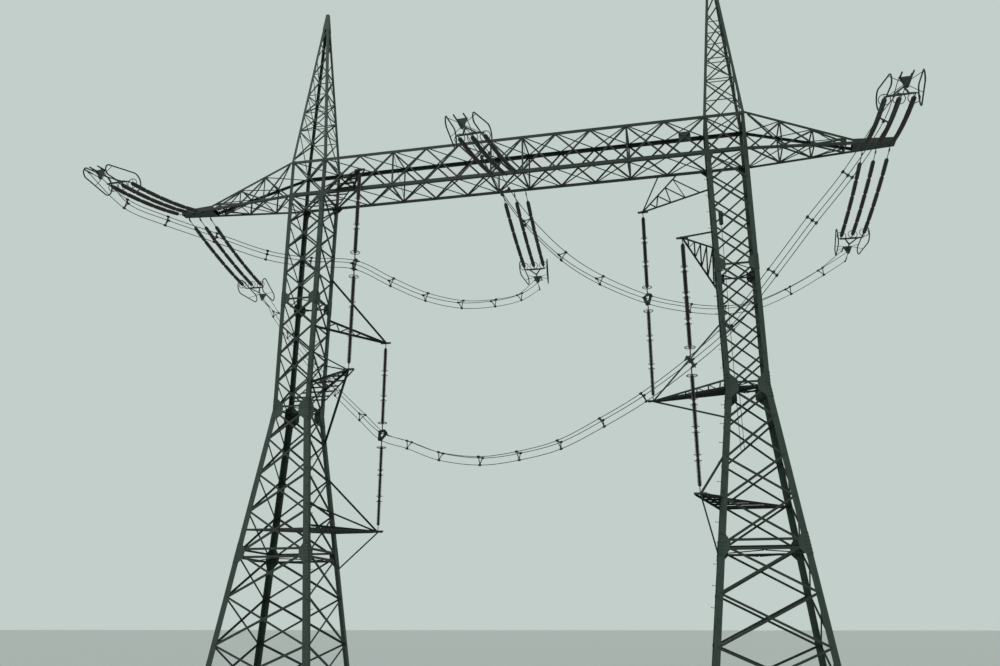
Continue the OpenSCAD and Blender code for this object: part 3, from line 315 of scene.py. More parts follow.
bump = add_node(strand, "ShaderNodeBump", {"Strength": 0.5, "Distance": 0.002},
                {"Height": lay.outputs["Fac"]})
strand.node_tree.links.new(bump.outputs["Normal"], shader.inputs["Normal"])

for name, route, first, last in jumpers:
    for j in range(3):
        line = conductor_line(route, j, first, last)
        points, faces = sweep(line, wire_d / 2, wire_sides)
        wire = add_piece(f"jumper_{name}_wire_{j + 1}", points, faces, strand, "conductor")
        run = np.concatenate([[0], np.cumsum(np.linalg.norm(np.diff(line, axis=0), axis=1))])
        # U goes once round the rope and V along it, so that the ridges follow the lay
        coords = wire.data.uv_layers.new(name="lay")
        vertex = np.zeros(len(wire.data.loops), int)
        wire.data.loops.foreach_get("vertex_index", vertex)
        around = (vertex % wire_sides) / wire_sides
        along = run[vertex // wire_sides] * lay_per_metre
        coords.data.foreach_set("uv", np.stack([around, along], -1).ravel())
        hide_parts(f"jumper_{name}")

# Spacers of the bundles
# Cast aluminium triangles that keep the three ropes of a bundle 400 mm apart. Each has a
# clamp of two shells round every rope, on three arms that meet in an open frame.

# cast aluminium with the dull skin of the sand mould: grains of some 17 mm, coarse enough to show
casting, shader = new_material("cast_aluminium", metallic=0.35)
at = add_node(casting, "ShaderNodeTexCoord")
grain = add_node(casting, "ShaderNodeTexNoise", {"Scale": 60.0, "Detail": 4.0},
                 {"Vector": at.outputs["Object"]})
grey = add_node(casting, "ShaderNodeMix", {"data_type": "RGBA", 6: linear("#1d2422"), 7: linear("#343b39")},
                {0: grain.outputs["Fac"]})
casting.node_tree.links.new(grey.outputs[2], shader.inputs["Base Color"])
shader.inputs["Roughness"].default_value = 0.6
bump = add_node(casting, "ShaderNodeBump", {"Strength": 0.3, "Distance": 0.002},
                {"Height": grain.outputs["Fac"]})
casting.node_tree.links.new(bump.outputs["Normal"], shader.inputs["Normal"])

# profile of a clamp along the rope: its end faces, the cone up to the shells, and the shells
shell_along = np.array([-0.065, -0.065, -0.045, 0.045, 0.065, 0.065]) + np.arange(6) * 1e-5
shell_radius = np.array([wire_d / 2 + 0.001, 0.036, 0.050, 0.050, 0.036, wire_d / 2 + 0.001])
arm_radius = 0.021
arm_bow = 0.14


def joined(parts):
    """One list of points and faces from several, with the faces renumbered."""
    points, faces, start = [], [], 0
    for p, f in parts:
        points.append(p)
        faces.extend([tuple(int(i) + start for i in q) for q in f])
        start += len(p)
    return np.vstack(points), faces


def spacer_parts(route, i):
    """Three clamp shells round the ropes and three slightly bowed arms between them."""
    way, e, u = frame_at(route, i)
    parts = []
    clamps = [route[i] + a * e + b * u for a, b in bundle_offsets]
    centre = np.mean(clamps, axis=0)
    for k, clamp in enumerate(clamps):
        parts.append(sweep(clamp + np.outer(shell_along, way), shell_radius, 12))
        other = clamps[(k + 1) % 3]
        bow = (clamp + other) / 2 * (1 - arm_bow) + centre * arm_bow
        arm = smooth_line(np.array([clamp, clamp, bow, other, other]), 5)[1:-1]
        parts.append(sweep(arm, arm_radius, 8))
    return parts


posts_on = {"left": (5,), "middle": (5,), "right": (5, 13)}
for name, route, *_ in jumpers:
    places = [i for i in range(len(route)) if i not in posts_on[name]]
    parts = [part for i in places for part in spacer_parts(route, i)]
    spacers = add_piece(f"jumper_{name}_spacers", *joined(parts), casting, "fittings")
    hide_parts("jumper_spacers")

# Insulator rods of the strain sets
# Long solid porcelain rods in dark brown glaze, five in series in each string, with eighteen
# thin sheds each and a cast iron cap cemented on at both ends.
core_r = 0.042
shed_r = 0.095
cap_r = 0.068
pin_r = 0.044
cap_length = 0.075
rod_sides = 16
strain_sheds = 18
# one shed's profile: foot, upper edge, lip, lower edge, hollow; places as shares of the pitch
shed_along = np.array([0.18, 0.40, 0.48, 0.56, 0.86])
shed_radius = np.array([core_r, shed_r - 0.004, shed_r, shed_r - 0.003, core_r + 0.010])

# glazed porcelain: nearly black brown, glossy where the rain washes it, duller under drifts of dust
glaze, shader = new_material("brown_glazed_porcelain", ior=1.55)
at = add_node(glaze, "ShaderNodeTexCoord")
drift = add_node(glaze, "ShaderNodeTexNoise", {"Scale": 3.0, "Detail": 5.0},
                 {"Vector": at.outputs["Object"]})
brown = add_node(glaze, "ShaderNodeMix", {"data_type": "RGBA", 6: linear("#120e0c"), 7: linear("#221813")},
                 {0: drift.outputs["Fac"]})
glaze.node_tree.links.new(brown.outputs[2], shader.inputs["Base Color"])
dust = add_node(glaze, "ShaderNodeMapRange", {"To Min": 0.18, "To Max": 0.42},
                {"Value": drift.outputs["Fac"]})
glaze.node_tree.links.new(dust.outputs["Result"], shader.inputs["Roughness"])

# hot-dip galvanised iron gone dark with age: the zinc's bloom in spots of some 55 mm
iron, shader = new_material("galvanised_iron", metallic=0.35)
at = add_node(iron, "ShaderNodeTexCoord")
bloom = add_node(iron, "ShaderNodeTexNoise", {"Scale": 18.0, "Detail": 6.0},
                 {"Vector": at.outputs["Object"]})
zinc = add_node(iron, "ShaderNodeMix", {"data_type": "RGBA", 6: linear("#1f2725"), 7: linear("#38413e")},
                {0: bloom.outputs["Fac"]})
iron.node_tree.links.new(zinc.outputs[2], shader.inputs["Base Color"])
dull = add_node(iron, "ShaderNodeMapRange", {"To Min": 0.45, "To Max": 0.75},
                {"Value": bloom.outputs["Fac"]})
iron.node_tree.links.new(dull.outputs["Result"], shader.inputs["Roughness"])
bump = add_node(iron, "ShaderNodeBump", {"Strength": 0.25, "Distance": 0.001},
                {"Height": bloom.outputs["Fac"]})
iron.node_tree.links.new(bump.outputs["Normal"], shader.inputs["Normal"])


def shed_profile(length, sheds):
    """Radius along one rod: the core between the caps, and on it sheds at equal steps, each with a
    sloping top, a round lip and a hollow underside."""
    pitch = (length - 2 * cap_length) / sheds
    feet = cap_length + pitch * np.arange(sheds)
    along = (feet[:, None] + pitch * shed_along).ravel()
    radius = np.tile(shed_radius, sheds)
    return (np.concatenate([[core_r], radius, [core_r]]),
            np.concatenate([[cap_length], along, [length - cap_length]]))


def turned(radius, along, start, way, sides):
    """A body of revolution: the profile's rings round the line from start in direction way."""
    across = unit(np.cross(way, [0.3, 0.2, 0.9]))
    second = np.cross(way, across)
    angle = 2 * np.pi * np.arange(sides) / sides
    ring = np.cos(angle)[:, None] * across + np.sin(angle)[:, None] * second
    points = start + along[:, None, None] * way + radius[:, None, None] * ring[None]
    faces = list(grid_faces(len(radius), sides))
    last = (len(radius) - 1) * sides
    return points.reshape(-1, 3), faces + [tuple(range(sides - 1, -1, -1)), tuple(range(last, last + sides))]


def cap_profile(length, flip):
    """A cap: narrow tongue, domed shoulder and plain skirt that closes on the porcelain."""
    z = np.array([0.0, 0.014, 0.020, 0.032, cap_length - 0.012, cap_length, cap_length])
    r = np.array([pin_r, pin_r, cap_r * 0.82, cap_r, cap_r, cap_r * 0.95, core_r])
    return (r[::-1], length - z[::-1]) if flip else (r, z)


def rod_parts(start, way, length, sheds):
    """One rod from start in direction way: the turned porcelain and its two turned caps."""
    body = turned(*shed_profile(length, sheds), start, way, rod_sides)
    caps = [turned(*cap_profile(length, flip), start, way, rod_sides) for flip in (False, True)]
    return body, caps


strain_sets = [("left", -phase_x), ("middle", 0.0), ("right", phase_x)]
for name, x in strain_sets:
    for where, side in (("front", -1), ("back", 1)):
        sheds, caps = [], []
        for i in (-1, 0, 1):
            for rod in range(rods_in_string):
                p, q = (on_string(x, side, i, joint(r)) for r in (rod, rod + 1))
                way = unit(q - p)
                start = p + (link_length if rod == 0 else 0.0) * way
                body, ends = rod_parts(start, way, rod_length, strain_sheds)
                sheds.append(body)
                caps += ends
        rods = add_piece(f"{name}_{where}_porcelain", *joined(sheds), glaze, "insulator")
        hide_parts(f"{name}_{where}_insulators")
        add_piece(f"{name}_{where}_caps", *joined(caps), iron, "fittings")

# Posts of the jumpers
# Straight upright columns between a bracket above and a bracket below, with three or four
# rods over and under the clamp that holds the bundle, and a short link at each bracket.
post_rod = 1.25
post_sheds = 20
clamp_half = 0.56
post_link = 0.30
vertical = np.array([0, 0, 1.0])


def post_joints(z):
    """Heights of the rods' ends over and under the clamp of a post whose top, clamp and foot are at z:
    equal steps, as near to post_rod as a whole number of rods allows."""
    halves = ((z[1] + clamp_half, z[0] - post_link), (z[2] + post_link, z[1] - clamp_half))
    return [np.linspace(low, high, round((high - low) / post_rod) + 1) for low, high in halves]


for name, pair in (("left", posts[:2]), ("right", posts[2:])):
    sheds, caps = [], []
    for (x, y), z in pair:
        for heights in post_joints(z):
            for low, high in zip(heights[:-1], heights[1:]):
                body, ends = rod_parts(np.array([x, y, low]), vertical, high - low, post_sheds)
                sheds.append(body)
                caps += ends
    rods = add_piece(f"{name}_posts_porcelain", *joined(sheds), glaze, "insulator")
    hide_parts(f"{name}_support_insulators")
    add_piece(f"{name}_posts_caps", *joined(caps), iron, "fittings")

# Painted steelwork
# Rolled angles and plates, hot-dip galvanised and brush-painted grey-green. The paint is
# chalky and a little streaked by rain.
def painted_steel(name, light, dark, dirt):
    """Chalky brush paint: two close tones in patches of about a metre, rain streaks 70 mm wide and 0.8 m
    tall, and brush marks of some 20 mm, as coarse as they need to be to show."""
    material, shader = new_material(name)
    place = {"Vector": add_node(material, "ShaderNodeTexCoord").outputs["Object"]}
    patches = add_node(material, "ShaderNodeTexNoise", {"Scale": 0.9, "Detail": 6.0}, place)
    tall = add_node(material, "ShaderNodeMapping", {"Scale": (9.0, 9.0, 0.8)}, place)
    streaks = add_node(material, "ShaderNodeTexNoise", {"Scale": 1.6, "Detail": 5.0},
                       {"Vector": tall.outputs["Vector"]})
    brush = add_node(material, "ShaderNodeTexNoise", {"Scale": 45.0, "Detail": 3.0}, place)
    tone = add_node(material, "ShaderNodeMix", {"data_type": "RGBA", 6: linear(dark), 7: linear(light)},
                    {0: patches.outputs["Fac"]})
    mask = add_node(material, "ShaderNodeMapRange", {"From Min": 0.52, "From Max": 0.78, "To Max": 0.55},
                    {"Value": streaks.outputs["Fac"]})
    dirty = add_node(material, "ShaderNodeMix", {"data_type": "RGBA", 7: linear(dirt)},
                     {0: mask.outputs["Result"], 6: tone.outputs[2]})
    links = material.node_tree.links
    links.new(dirty.outputs[2], shader.inputs["Base Color"])
    rough = add_node(material, "ShaderNodeMapRange", {"To Min": 0.5, "To Max": 0.8},
                     {"Value": brush.outputs["Fac"]})
    links.new(rough.outputs["Result"], shader.inputs["Roughness"])
    bump = add_node(material, "ShaderNodeBump", {"Strength": 0.35, "Distance": 0.0015},
                    {"Height": brush.outputs["Fac"]})
    links.new(bump.outputs["Normal"], shader.inputs["Normal"])
    return material


# the iron of the fittings and the paint of the steelwork go on the carried nodes too
leg_paint = painted_steel("grey_green_paint_on_legs", "#314439", "#23332a", "#161f1a")
# the bracing gets the same paint with all three tones darker: that darkness is painted shade
brace_paint_with_painted_shade = painted_steel("grey_green_paint_on_bracing_darkened_as_painted_shade", "#223028", "#17221c", "#0f1713")
for name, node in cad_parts.items():
    if node.hide_render:
        continue
    node.data.materials.clear()
    if "yoke" in name or "clamps" in name:
        node.data.materials.append(iron)
    elif "legs" in name or "peak" in name:
        node.data.materials.append(leg_paint)
    # the bracing and the rest of the steel get the darker copy of the paint, whose darkness is painted shade
    else:
        node.data.materials.append(brace_paint_with_painted_shade)

# Second flanges of the bracing
# The bars that cross behind the others are angles as well: a flange 7 mm thick, 0.7 of the
# bar's width deep, stands inwards along the lower edge and shows as the bar's dark side, in the
# bracing's paint, whose darker tones are painted shade.
beam_level = 23.1
beam_top = 25.04
waist_level = 12.2
base_width = 4.79
waist_width = 1.77
head_width = 1.83
leg_t = 0.018
chord_t = 0.012
flange_t = 0.007
flange_share = 0.7
lap = 0.0016
low_bar = 0.09
high_bar = 0.08
beam_bar = 0.072
arm_bar = 0.064
peak_bar = 0.056
# heights where the crossed bars of a face meet the legs, 60 mm clear of the waist and the beam
level_gap = 0.06
panel = (beam_level - waist_level) / 8
low_levels = [waist_level * share for share in (0.012, 0.164, 0.322, 0.471, 0.619, 0.754, 0.889)]
low_levels += [waist_level - level_gap]
high_levels = [waist_level + level_gap] + [waist_level + panel * i for i in range(1, 8)]
high_levels += [beam_level - level_gap]
tower_corners = ((-1, -1), (1, -1), (1, 1), (-1, 1))


def corner(side, sx, sy, z):
    """Corner of a tower at height z: it narrows to the waist and hardly changes from there to the beam."""
    if z < waist_level:
        x = y = (base_width + (waist_width - base_width) * z / waist_level) / 2
    else:
        t = (z - waist_level) / (beam_level - waist_level)
        x = (waist_width + (head_width - waist_width) * t) / 2
        y = (waist_width + (beam_depth - waist_width) * t) / 2
    return np.array([side * tower_x + sx * x, sy * y, z])


def bar_between(p, q, outline, up):
    """A prism: the outline, clockwise in (side, up), stands at p and at q, where side is the cross product
    of the way from p to q and up."""
    way = unit(q - p)
    side = unit(np.cross(way, up))
    outline = np.asarray(outline)
    section = outline[:, :1] * side + outline[:, 1:] * np.cross(side, way)
    n = len(outline)
    faces = list(grid_faces(2, n)) + [tuple(range(n - 1, -1, -1)), tuple(range(n, 2 * n))]
    return np.vstack([p + section, q + section]), faces


def flange(p, q, outward, width):
    """The second flange of a flat bar of that width from p to q, its outer face on the line: a rectangle
    near the bar's lower edge, from 2 mm inside the bar to flange_share of its width."""
    low, top, deep = 0.001 - width / 2, -0.002, -flange_share * width
    outline = [(low, deep), (low, top), (low + flange_t, top), (low + flange_t, deep)]
    return bar_between(p, q, outline, outward)


def tower_bars(side, k):
    """The two crossed bars of each panel of tower face k, laid inside the legs' flanges: start, end,
    outward direction, width, and whether the bar lies behind the other and is 4 mm narrower."""
    left, right = tower_corners[k], tower_corners[(k + 1) % 4]
    bars = []
    for levels, width in ((low_levels, low_bar), (high_levels, high_bar)):
        inset = leg_t + 1.2 * width
        across = unit(corner(side, *right, levels[0]) - corner(side, *left, levels[0]))
        outward = unit(np.cross(across, corner(side, *left, levels[-1]) - corner(side, *left, levels[0])))
        for a, b in zip(levels[:-1], levels[1:]):
            lefts = [corner(side, *left, z) + inset * across - leg_t * outward for z in (a, b)]
            rights = [corner(side, *right, z) - inset * across - leg_t * outward for z in (a, b)]
            bars.append((lefts[0], rights[1], outward, width, False))
            bars.append((rights[0] - lap * outward, lefts[1] - lap * outward, outward, width - 0.004, True))
    return bars


for name, side in (("left", -1), ("right", 1)):
    flanges = [flange(*bar[:4]) for k in range(4) for bar in tower_bars(side, k) if bar[4]]
    add_piece(f"{name}_tower_second_flanges", *joined(flanges), brace_paint_with_painted_shade, "painted_steel", False)

# beam: eleven bays between the towers and one in each of them, on all four faces
first_joint = 0.77
last_joint = 9.235
growth = 0.07
shares = np.arange(6) / 5
half_bays = first_joint + (last_joint - first_joint) * (shares * (1 - growth) + shares ** 2 * growth)
bay_ends = np.concatenate([[-outer_x], -half_bays[::-1], half_bays, [outer_x]])
beam_faces = [((0, 0, 1), (0, -1, 0)), ((0, 1, 0), (0, 0, 1)),
              ((0, 0, -1), (0, 1, 0)), ((0, -1, 0), (0, 0, -1))]
beam_reach = 0.8722
leg_clear = 0.16
short_along, short_up = 0.009, 0.005
beam_joints = []
flanges = []
for up, outward in np.array(beam_faces, float):
    middle = np.array([0, 0, (beam_level + beam_top) / 2]) + (beam_depth / 2 - chord_t) * outward
    for i in range(len(bay_ends) - 1):
        x0 = bay_ends[i] + (leg_clear if i == 0 else 0)
        x1 = bay_ends[i + 1] - (leg_clear if i == len(bay_ends) - 2 else 0)
        p = middle + np.array([x1 - short_along, 0, 0]) - (beam_reach - short_up) * up
        q = middle + np.array([x0 + short_along, 0, 0]) + (beam_reach - short_up) * up
        flanges.append(flange(p - lap * outward, q - lap * outward, outward, beam_bar))
        beam_joints.append((p, q, outward))
        beam_joints.append((middle + np.array([x0, 0, 0]) - beam_reach * up,
                            middle + np.array([x1, 0, 0]) + beam_reach * up, outward))
add_piece("beam_second_flanges", *joined(flanges), brace_paint_with_painted_shade, "painted_steel", False)

# arms: three panels on each side, on the top and under the bottom; the right arm's front is worked
# out and the others mirrored from it
arm_panels = (0.03, 0.33, 0.63, 0.93)
box_run = 4.58
arm_fall = 1.7
arm_inset = 0.0966
arm_foot = 0.094
arm_head = 0.104
shorter, narrower = 0.006, 0.004
set_back = chord_t + lap / 2
arm_turn = math.atan2(edge_y(outer_x) - edge_y(outer_x + box_run), box_run)
arm_tilt = math.atan2(arm_fall, box_run)
flanges = []
for i in range(3):
    u, v = (share * box_run / math.cos(arm_turn) for share in arm_panels[i:i + 2])
    along = np.array([math.cos(arm_turn), math.sin(arm_turn), 0])
    outward = np.array([math.sin(arm_turn), -math.cos(arm_turn), 0])
    foot = np.array([outer_x, -beam_depth / 2, beam_level]) - set_back * outward
    top = beam_top - beam_level - arm_head - arm_fall * u * math.cos(arm_turn) / box_run
    flanges.append((foot + (v - shorter) * along + arm_foot * vertical,
                    foot + (u + shorter) * along + top * vertical, outward))
    u, v = (share * box_run for share in arm_panels[i:i + 2])
    a, b = (edge_y(outer_x + run) - arm_inset - narrower for run in (u, v))
    flanges.append((np.array([outer_x + v - shorter, -b, beam_level + set_back]),
                    np.array([outer_x + u + shorter, a, beam_level + set_back]), -vertical))
    along = np.array([math.cos(arm_tilt), 0, -math.sin(arm_tilt)])
    outward = np.array([math.sin(arm_tilt), 0, math.cos(arm_tilt)])
    ridge = np.array([outer_x, 0, beam_top]) - set_back * outward
    flanges.append((ridge + (v / math.cos(arm_tilt) - shorter) * along + np.array([0, -b, 0]),
                    ridge + (u / math.cos(arm_tilt) + shorter) * along + np.array([0, a, 0]), outward))
to_back = np.array([1, -1, 1])
to_left = np.array([-1, 1, 1])
sides = [side for side in flanges if abs(side[2][1]) > 0.5]
flanges += [(q * to_back, p * to_back, outward * to_back) for p, q, outward in sides]
flanges += [(q * to_left, p * to_left, outward * to_left) for p, q, outward in flanges]
parts = [flange(p, q, outward, arm_bar) for p, q, outward in flanges]
add_piece("arm_second_flanges", *joined(parts), brace_paint_with_painted_shade, "painted_steel", False)

# peaks: the four crossed panels over the beam on each face, their flat bars 0.4 mm into the legs
peak_rise = 8.56
cap_half = 0.15
peak_t = 0.010
peak_lift = 0.0004
peak_inset = 0.08125
peak_clear = 0.062
peak_z = [beam_top + peak_rise * share for share in (0.012, 0.215, 0.345, 0.475, 0.635)]


def peak_half(k, z):
    """Half the width of peak face k at height z: straight from the beam's top to the cap."""
    base = (head_width if k % 2 == 0 else beam_depth) / 2
    return base + (cap_half - base) * (z - beam_top) / peak_rise


flanges = []
for k in range(4):
    tilt = math.atan2(peak_half(k + 1, beam_top) - cap_half, peak_rise)
    turn = math.radians(90 * k)
    across = np.array([math.cos(turn), math.sin(turn), 0])
    inward = np.array([-math.sin(turn), math.cos(turn), 0])
    upward = math.sin(tilt) * inward + math.cos(tilt) * vertical
    outward = np.cross(across, upward)
    foot = beam_top * vertical - peak_half(k + 1, beam_top) * inward - (peak_t - peak_lift) * outward
    for i in range(4):
        s = 1 if i % 2 == 0 else -1
        reach_a, reach_b = (peak_half(k, z) - peak_inset for z in peak_z[i:i + 2])
        rise_a = (peak_z[i] - beam_top) / math.cos(tilt) + peak_clear
        rise_b = (peak_z[i + 1] - beam_top) / math.cos(tilt) - peak_clear
        p = foot + s * reach_a * across + rise_a * upward
        q = foot - s * reach_b * across + rise_b * upward
        p, q = (p, q) if s > 0 else (q, p)
        for side in (-1, 1):
            offset = np.array([side * tower_x, 0, 0])
            flanges.append(flange(p + offset, q + offset, outward, peak_bar))
add_piece("peak_second_flanges", *joined(flanges), brace_paint_with_painted_shade, "painted_steel", False)

# Platforms of the brackets
# Ladders of 75 mm angles: an outer and an inner chord from the ends of a cross bar 0.5 m long
# at the tip, rungs along the pylon, and inside the tower a diagonal between opposite legs.
angle_w = 0.075
angle_t = 0.007
rung_angle = [(0, -angle_w), (0, 0), (angle_w, 0), (angle_w, -angle_t),
              (angle_t, -angle_t), (angle_t, -angle_w)]
bar_half = 0.035
end_bar = [(-0.045, -bar_half), (-0.045, bar_half), (0.045, bar_half), (0.045, -bar_half)]
bar_reach = 0.25
chord_at = 0.22
rung_shares = (0.16, 0.33, 0.50, 0.67, 0.84, 0.97)
# post, height, side, the legs near, far and opposite, and how far the chords drop to the tower
platforms = (
    (post_1, post_1_z[0] - bar_half, -1, (1, -1), (1, 1), (-1, 1), 0.0),
    (post_1, post_1_z[2] + bar_half, -1, (1, -1), (1, 1), (-1, 1), 0.5),
    (post_2, post_2_z[2] + bar_half, -1, (1, 1), (1, -1), (-1, -1), 0.15),
    (post_3, post_3_z[2] + bar_half, 1, (-1, 1), (-1, -1), (1, -1), 0.3),
    (post_4, post_4_z[2] + bar_half, 1, (-1, -1), (-1, 1), (1, 1), 0.15))


def platform(post, height, side, near, far, opposite, drop):
    """The outer chord to the far leg, the inner one to the near leg, and the diagonal from there; rungs
    start at shares of the outer chord and end on the inner chord or the diagonal, at the same depth."""
    outer = np.array([post[0] - side * chord_at, post[1], height])
    inner = np.array([post[0] + side * chord_at, post[1], height])
    legs = ((near, drop / 2), (far, drop), (opposite, drop))
    at_near, at_far, at_opposite = (corner(side, *leg, height - fall) for leg, fall in legs)
    lines = [(outer, at_far), (inner, at_near), (at_near, at_opposite)]
    for share in rung_shares:
        p = outer + share * (at_far - outer)
        over_inner = (p[1] - at_near[1]) * (inner[1] - at_near[1]) > 0
        a, b = lines[1] if over_inner else lines[2]
        lines.append((p, a + (p[1] - a[1]) / (b[1] - a[1]) * (b - a)))
    return [bar_between(p, q, rung_angle, vertical) for p, q in lines]


parts = [part for row in platforms for part in platform(*row)]
for (x, y), z in posts:
    for height in (z[0] - bar_half, z[2] + bar_half):
        ends = (np.array([x + step, y, height]) for step in (-bar_reach, bar_reach))
        parts.append(bar_between(*ends, end_bar, vertical))
add_piece("bracket_platforms", *joined(parts), brace_paint_with_painted_shade, "painted_steel", False)

# Bolts
# Two hexagon bolts at each end of every bar, rows of them on the splice plates, and four
# nuts of 54 mm on each base plate.
splice_z = 17.65
bolt_r, bolt_h = 0.0175, 0.014
nut_r, nut_h = 0.031, 0.030
stud_r, stud_h = 0.015, 0.075
base_top = 0.036
plate_t = 0.012
bolts_on_bar = (0.03, 0.085)
bolts_on_beam = (0.02, 0.07)
bolts_on_plate = (0.06, 0.15)
bolts_on_base = (-0.09, 0.41)
# height of each plate, the leg's two levels that it lies between, and half its height; the plate at
# the waist comes twice, once for its half under the joint and once for the half over it
plates = ((low_levels[3], 0.0, waist_level, 0.43), (waist_level, 0.0, waist_level, 0.55),
          (waist_level, waist_level, beam_level, 0.55), (splice_z, waist_level, beam_level, 0.35))
full_rows = np.linspace(-0.86, 0.86, 6)
half_rows = np.linspace(0.12, 0.92, 4)


def hexagons(centres, normals, radius, height):
    """Bolt heads: hexagons at both ends of a short prism along each normal, computed as one array."""
    centres, normals = np.array(centres), np.array(normals)
    e = np.cross(normals, [0.31, 0.52, 0.79])
    e /= np.linalg.norm(e, axis=1)[:, None]
    f = np.cross(normals, e)
    angle = np.pi / 3 * np.arange(6)
    ring = np.cos(angle)[None, :, None] * e[:, None] + np.sin(angle)[None, :, None] * f[:, None]
    ends = [centres[:, None] + radius * ring + rise * normals[:, None] for rise in (-0.002, height)]
    points = np.stack(ends, 1).reshape(-1, 3)
    shape = list(grid_faces(2, 6)) + [tuple(range(5, -1, -1)), tuple(range(6, 12))]
    return points, [tuple(12 * i + int(v) for v in face) for i in range(len(centres)) for face in shape]


centres, normals = [], []
for side in (-1, 1):
    for k in range(4):
        for p, q, outward, width, behind in tower_bars(side, k):
            way = unit(q - p)
            for along in bolts_on_bar:
                for end in (p + along * way, q - along * way):
                    centres.append(end + (leg_t + (lap if behind else 0)) * outward)
                    normals.append(outward)
        left, right = tower_corners[k], tower_corners[(k + 1) % 4]
        for z, low, high, half in plates:
            for heel, toe in ((left, right), (right, left)):
                across = unit(corner(side, *toe, low) - corner(side, *heel, low))
                rise = corner(side, *heel, high - 0.001) - corner(side, *heel, low)
                outward = unit(np.cross(across if heel is left else -across, rise))
                rows = half_rows if z in (low, high) else full_rows
                for row in (-half if z == high else half) * rows:
                    for step in bolts_on_plate:
                        place = corner(side, *heel, z) + row / rise[2] * rise + step * across
                        centres.append(place + plate_t * outward)
                        normals.append(outward)
for p, q, outward in beam_joints:
    way = unit(q - p)
    for along in bolts_on_beam:
        for end in (p + along * way, q - along * way):
            centres.append(end + chord_t * outward)
            normals.append(outward)
add_piece("bolt_heads", *hexagons(centres, normals, bolt_r, bolt_h), iron, "fittings", False)

centres = []
for side in (-1, 1):
    for sx, sy in tower_corners:
        heel = corner(side, sx, sy, 0)
        for a in bolts_on_base:
            centres += [heel + np.array([-sx * a, -sy * b, base_top]) for b in bolts_on_base]
nuts = hexagons(centres, [vertical] * len(centres), nut_r, nut_h)
studs = [sweep([c - 0.01 * vertical, c + stud_h * vertical], stud_r, 8) for c in centres]
add_piece("foot_bolts", *joined([nuts, *studs]), iron, "fittings", False)

# Step irons
# Round bars of 20 mm that stick out 0.17 m from one leg of each tower, 0.4 m apart, first on
# one flange and then on the other, from 3 m above the ground to just under the beam.
iron_r = 0.010
iron_pitch = 0.4
first_iron = 3.0
irons = 49
flange_middle = 0.06
# the bent bar: how far out and how far up its points lie
iron_shape = ((-0.03, 0), (0.15, 0), (0.165, 0.012), (0.17, 0.04))
parts = []
for side, (sx, sy) in ((-1, (1, -1)), (1, (-1, -1))):
    for i in range(irons):
        out, beside = np.array([0.0, sy, 0.0]), np.array([sx, 0.0, 0.0])
        if i % 2:
            out, beside = beside, out
        root = corner(side, sx, sy, first_iron + iron_pitch * i) - flange_middle * beside
        line = [root + far * out + up * vertical for far, up in iron_shape]
        parts.append(sweep(line, iron_r, 8))
add_piece("step_irons", *joined(parts), brace_paint_with_painted_shade, "painted_steel")

# Rings and clamps of the posts
# Thin arcing rings of 0.3 m stand in pairs about the joints of the rods. Boat-shaped clamps
# hold the three ropes in the frame, each with a keeper bolted down over it.
ring_r = 0.15
ring_tube = 0.007
ring_gap = 0.12
boat_along = np.array([-0.17, -0.15, -0.08, 0.0, 0.08, 0.15, 0.17])
boat_radius = np.array([0.017, 0.032, 0.048, 0.054, 0.048, 0.032, 0.017])
keeper_at, keeper_rise = 0.05, 0.045
keeper_r, keeper_h = 0.02, 0.035
ring_steps, tube_steps = 28, 8


def ring(centre, radius, tube):
    """A level torus round the centre, tube cos b further out than radius and tube sin b up at the angle a,
    and one bar across it for its two arms."""
    a = 2 * np.pi * np.arange(ring_steps)[:, None] / ring_steps
    b = 2 * np.pi * np.arange(tube_steps)[None, :] / tube_steps
    wide = radius + tube * np.cos(b)
    points = np.stack([wide * np.cos(a), wide * np.sin(a), tube * np.sin(b) + 0 * a], -1).reshape(-1, 3)
    i, j = np.arange(ring_steps)[:, None] * tube_steps, np.arange(tube_steps)[None, :]
    k, down = (j + 1) % tube_steps, (i + tube_steps) % (ring_steps * tube_steps)
    quads = np.stack([i + j, down + j, down + k, i + k], -1).reshape(-1, 4)
    arm = sweep([centre - [radius, 0, 0], centre + [radius, 0, 0]], tube * 0.8, 6)
    return joined([(centre + points, quads), arm])


held = ((route_left, 5), (route_right, 13), (route_middle, 5), (route_right, 5))
parts, boats = [], []
for ((x, y), z), (route, i) in zip(posts, held):
    joints = np.concatenate([heights[1:-1] for heights in post_joints(z)])
    parts += [ring(np.array([x, y, height + step]), ring_r, ring_tube)
              for height in joints for step in (-ring_gap, ring_gap)]
    way, e, u = frame_at(route, i)
    for across, above in bundle_offsets:
        middle = route[i] + across * e + above * u
        boats.append(sweep(middle + np.outer(boat_along, way), boat_radius, 14))
        keepers = [middle + along * way + keeper_rise * u for along in (-keeper_at, keeper_at)]
        boats.append(hexagons(keepers, [u, u], keeper_r, keeper_h))
add_piece("arcing_rings", *joined(parts), iron, "fittings")
add_piece("suspension_clamps", *joined(boats), iron, "fittings")

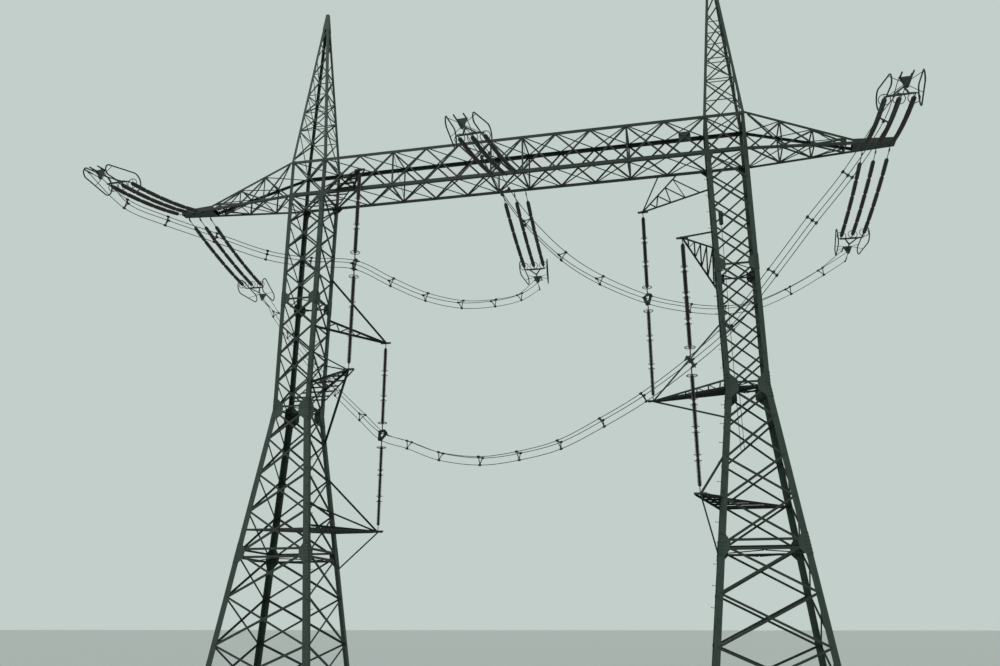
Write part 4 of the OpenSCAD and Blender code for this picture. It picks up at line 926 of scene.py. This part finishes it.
# Loop of the down lead
# The spare length of the lead hangs as a narrow loop beside its end inside the right tower.
# It leaves the lead downwards, turns in a half circle and goes up to where it is tied back.
lead_x, lead_y = tower_x - 0.42, 0.8395
lead_r = 0.012
bend_r = 0.075
bend_z = 9.88
bend = np.pi * np.arange(9) / 8
turn_x, turn_z = bend_r - bend_r * np.cos(bend), bend_z - bend_r * np.sin(bend)
loop_x = [0.0, *turn_x, 2 * bend_r, 2 * bend_r, 0.12, lead_r]
loop_z = [bend_z + 0.05, *turn_z, 10.5, 12.5, 12.8, 12.95]
loop = [(lead_x + x, lead_y, z) for x, z in zip(loop_x, loop_z)]
add_piece("down_lead_loop", *sweep(loop, lead_r, 10), brace_paint_with_painted_shade, "down_lead")

# Ground and light
# A plain pale floor, an even sky that looks bright but lights at half of that, and one broad
# soft lamp from the front left.
floor_half = 900
floor_mesh = bpy.data.meshes.new("floor")
floor_mesh.from_pydata([(-floor_half, -floor_half, 0), (floor_half, -floor_half, 0),
                        (floor_half, floor_half, 0), (-floor_half, floor_half, 0)], [], [(0, 1, 2, 3)])
floor = bpy.data.objects.new("floor", floor_mesh)
bpy.context.scene.collection.objects.link(floor)
pale, shader = new_material("pale_floor")
shader.inputs["Base Color"].default_value = linear("#dfe5e2")
shader.inputs["Roughness"].default_value = 0.9
floor_mesh.materials.append(pale)

bpy.context.scene.view_settings.view_transform = "Standard"
world = bpy.data.worlds.new("studio")
bpy.context.scene.world = world
world.use_nodes = True
sky = world.node_tree.nodes["Background"]
rays = add_node(world, "ShaderNodeLightPath")
seen = add_node(world, "ShaderNodeMath", {"operation": "MAXIMUM"},
                {0: rays.outputs["Is Camera Ray"], 1: rays.outputs["Is Glossy Ray"]})
level = add_node(world, "ShaderNodeMapRange", {"To Min": 0.5, "To Max": 1.0},
                 {"Value": seen.outputs["Value"]})
sky.inputs["Color"].default_value = linear("#c3cfca")
world.node_tree.links.new(level.outputs["Result"], sky.inputs["Strength"])
lamp_data = bpy.data.lights.new("soft_lamp", "SUN")
lamp_data.energy = 1.1
lamp_data.angle = math.radians(25)
lamp = bpy.data.objects.new("soft_lamp", lamp_data)
lamp.rotation_euler = (math.radians(48), 0, math.radians(-35))
bpy.context.scene.collection.objects.link(lamp)
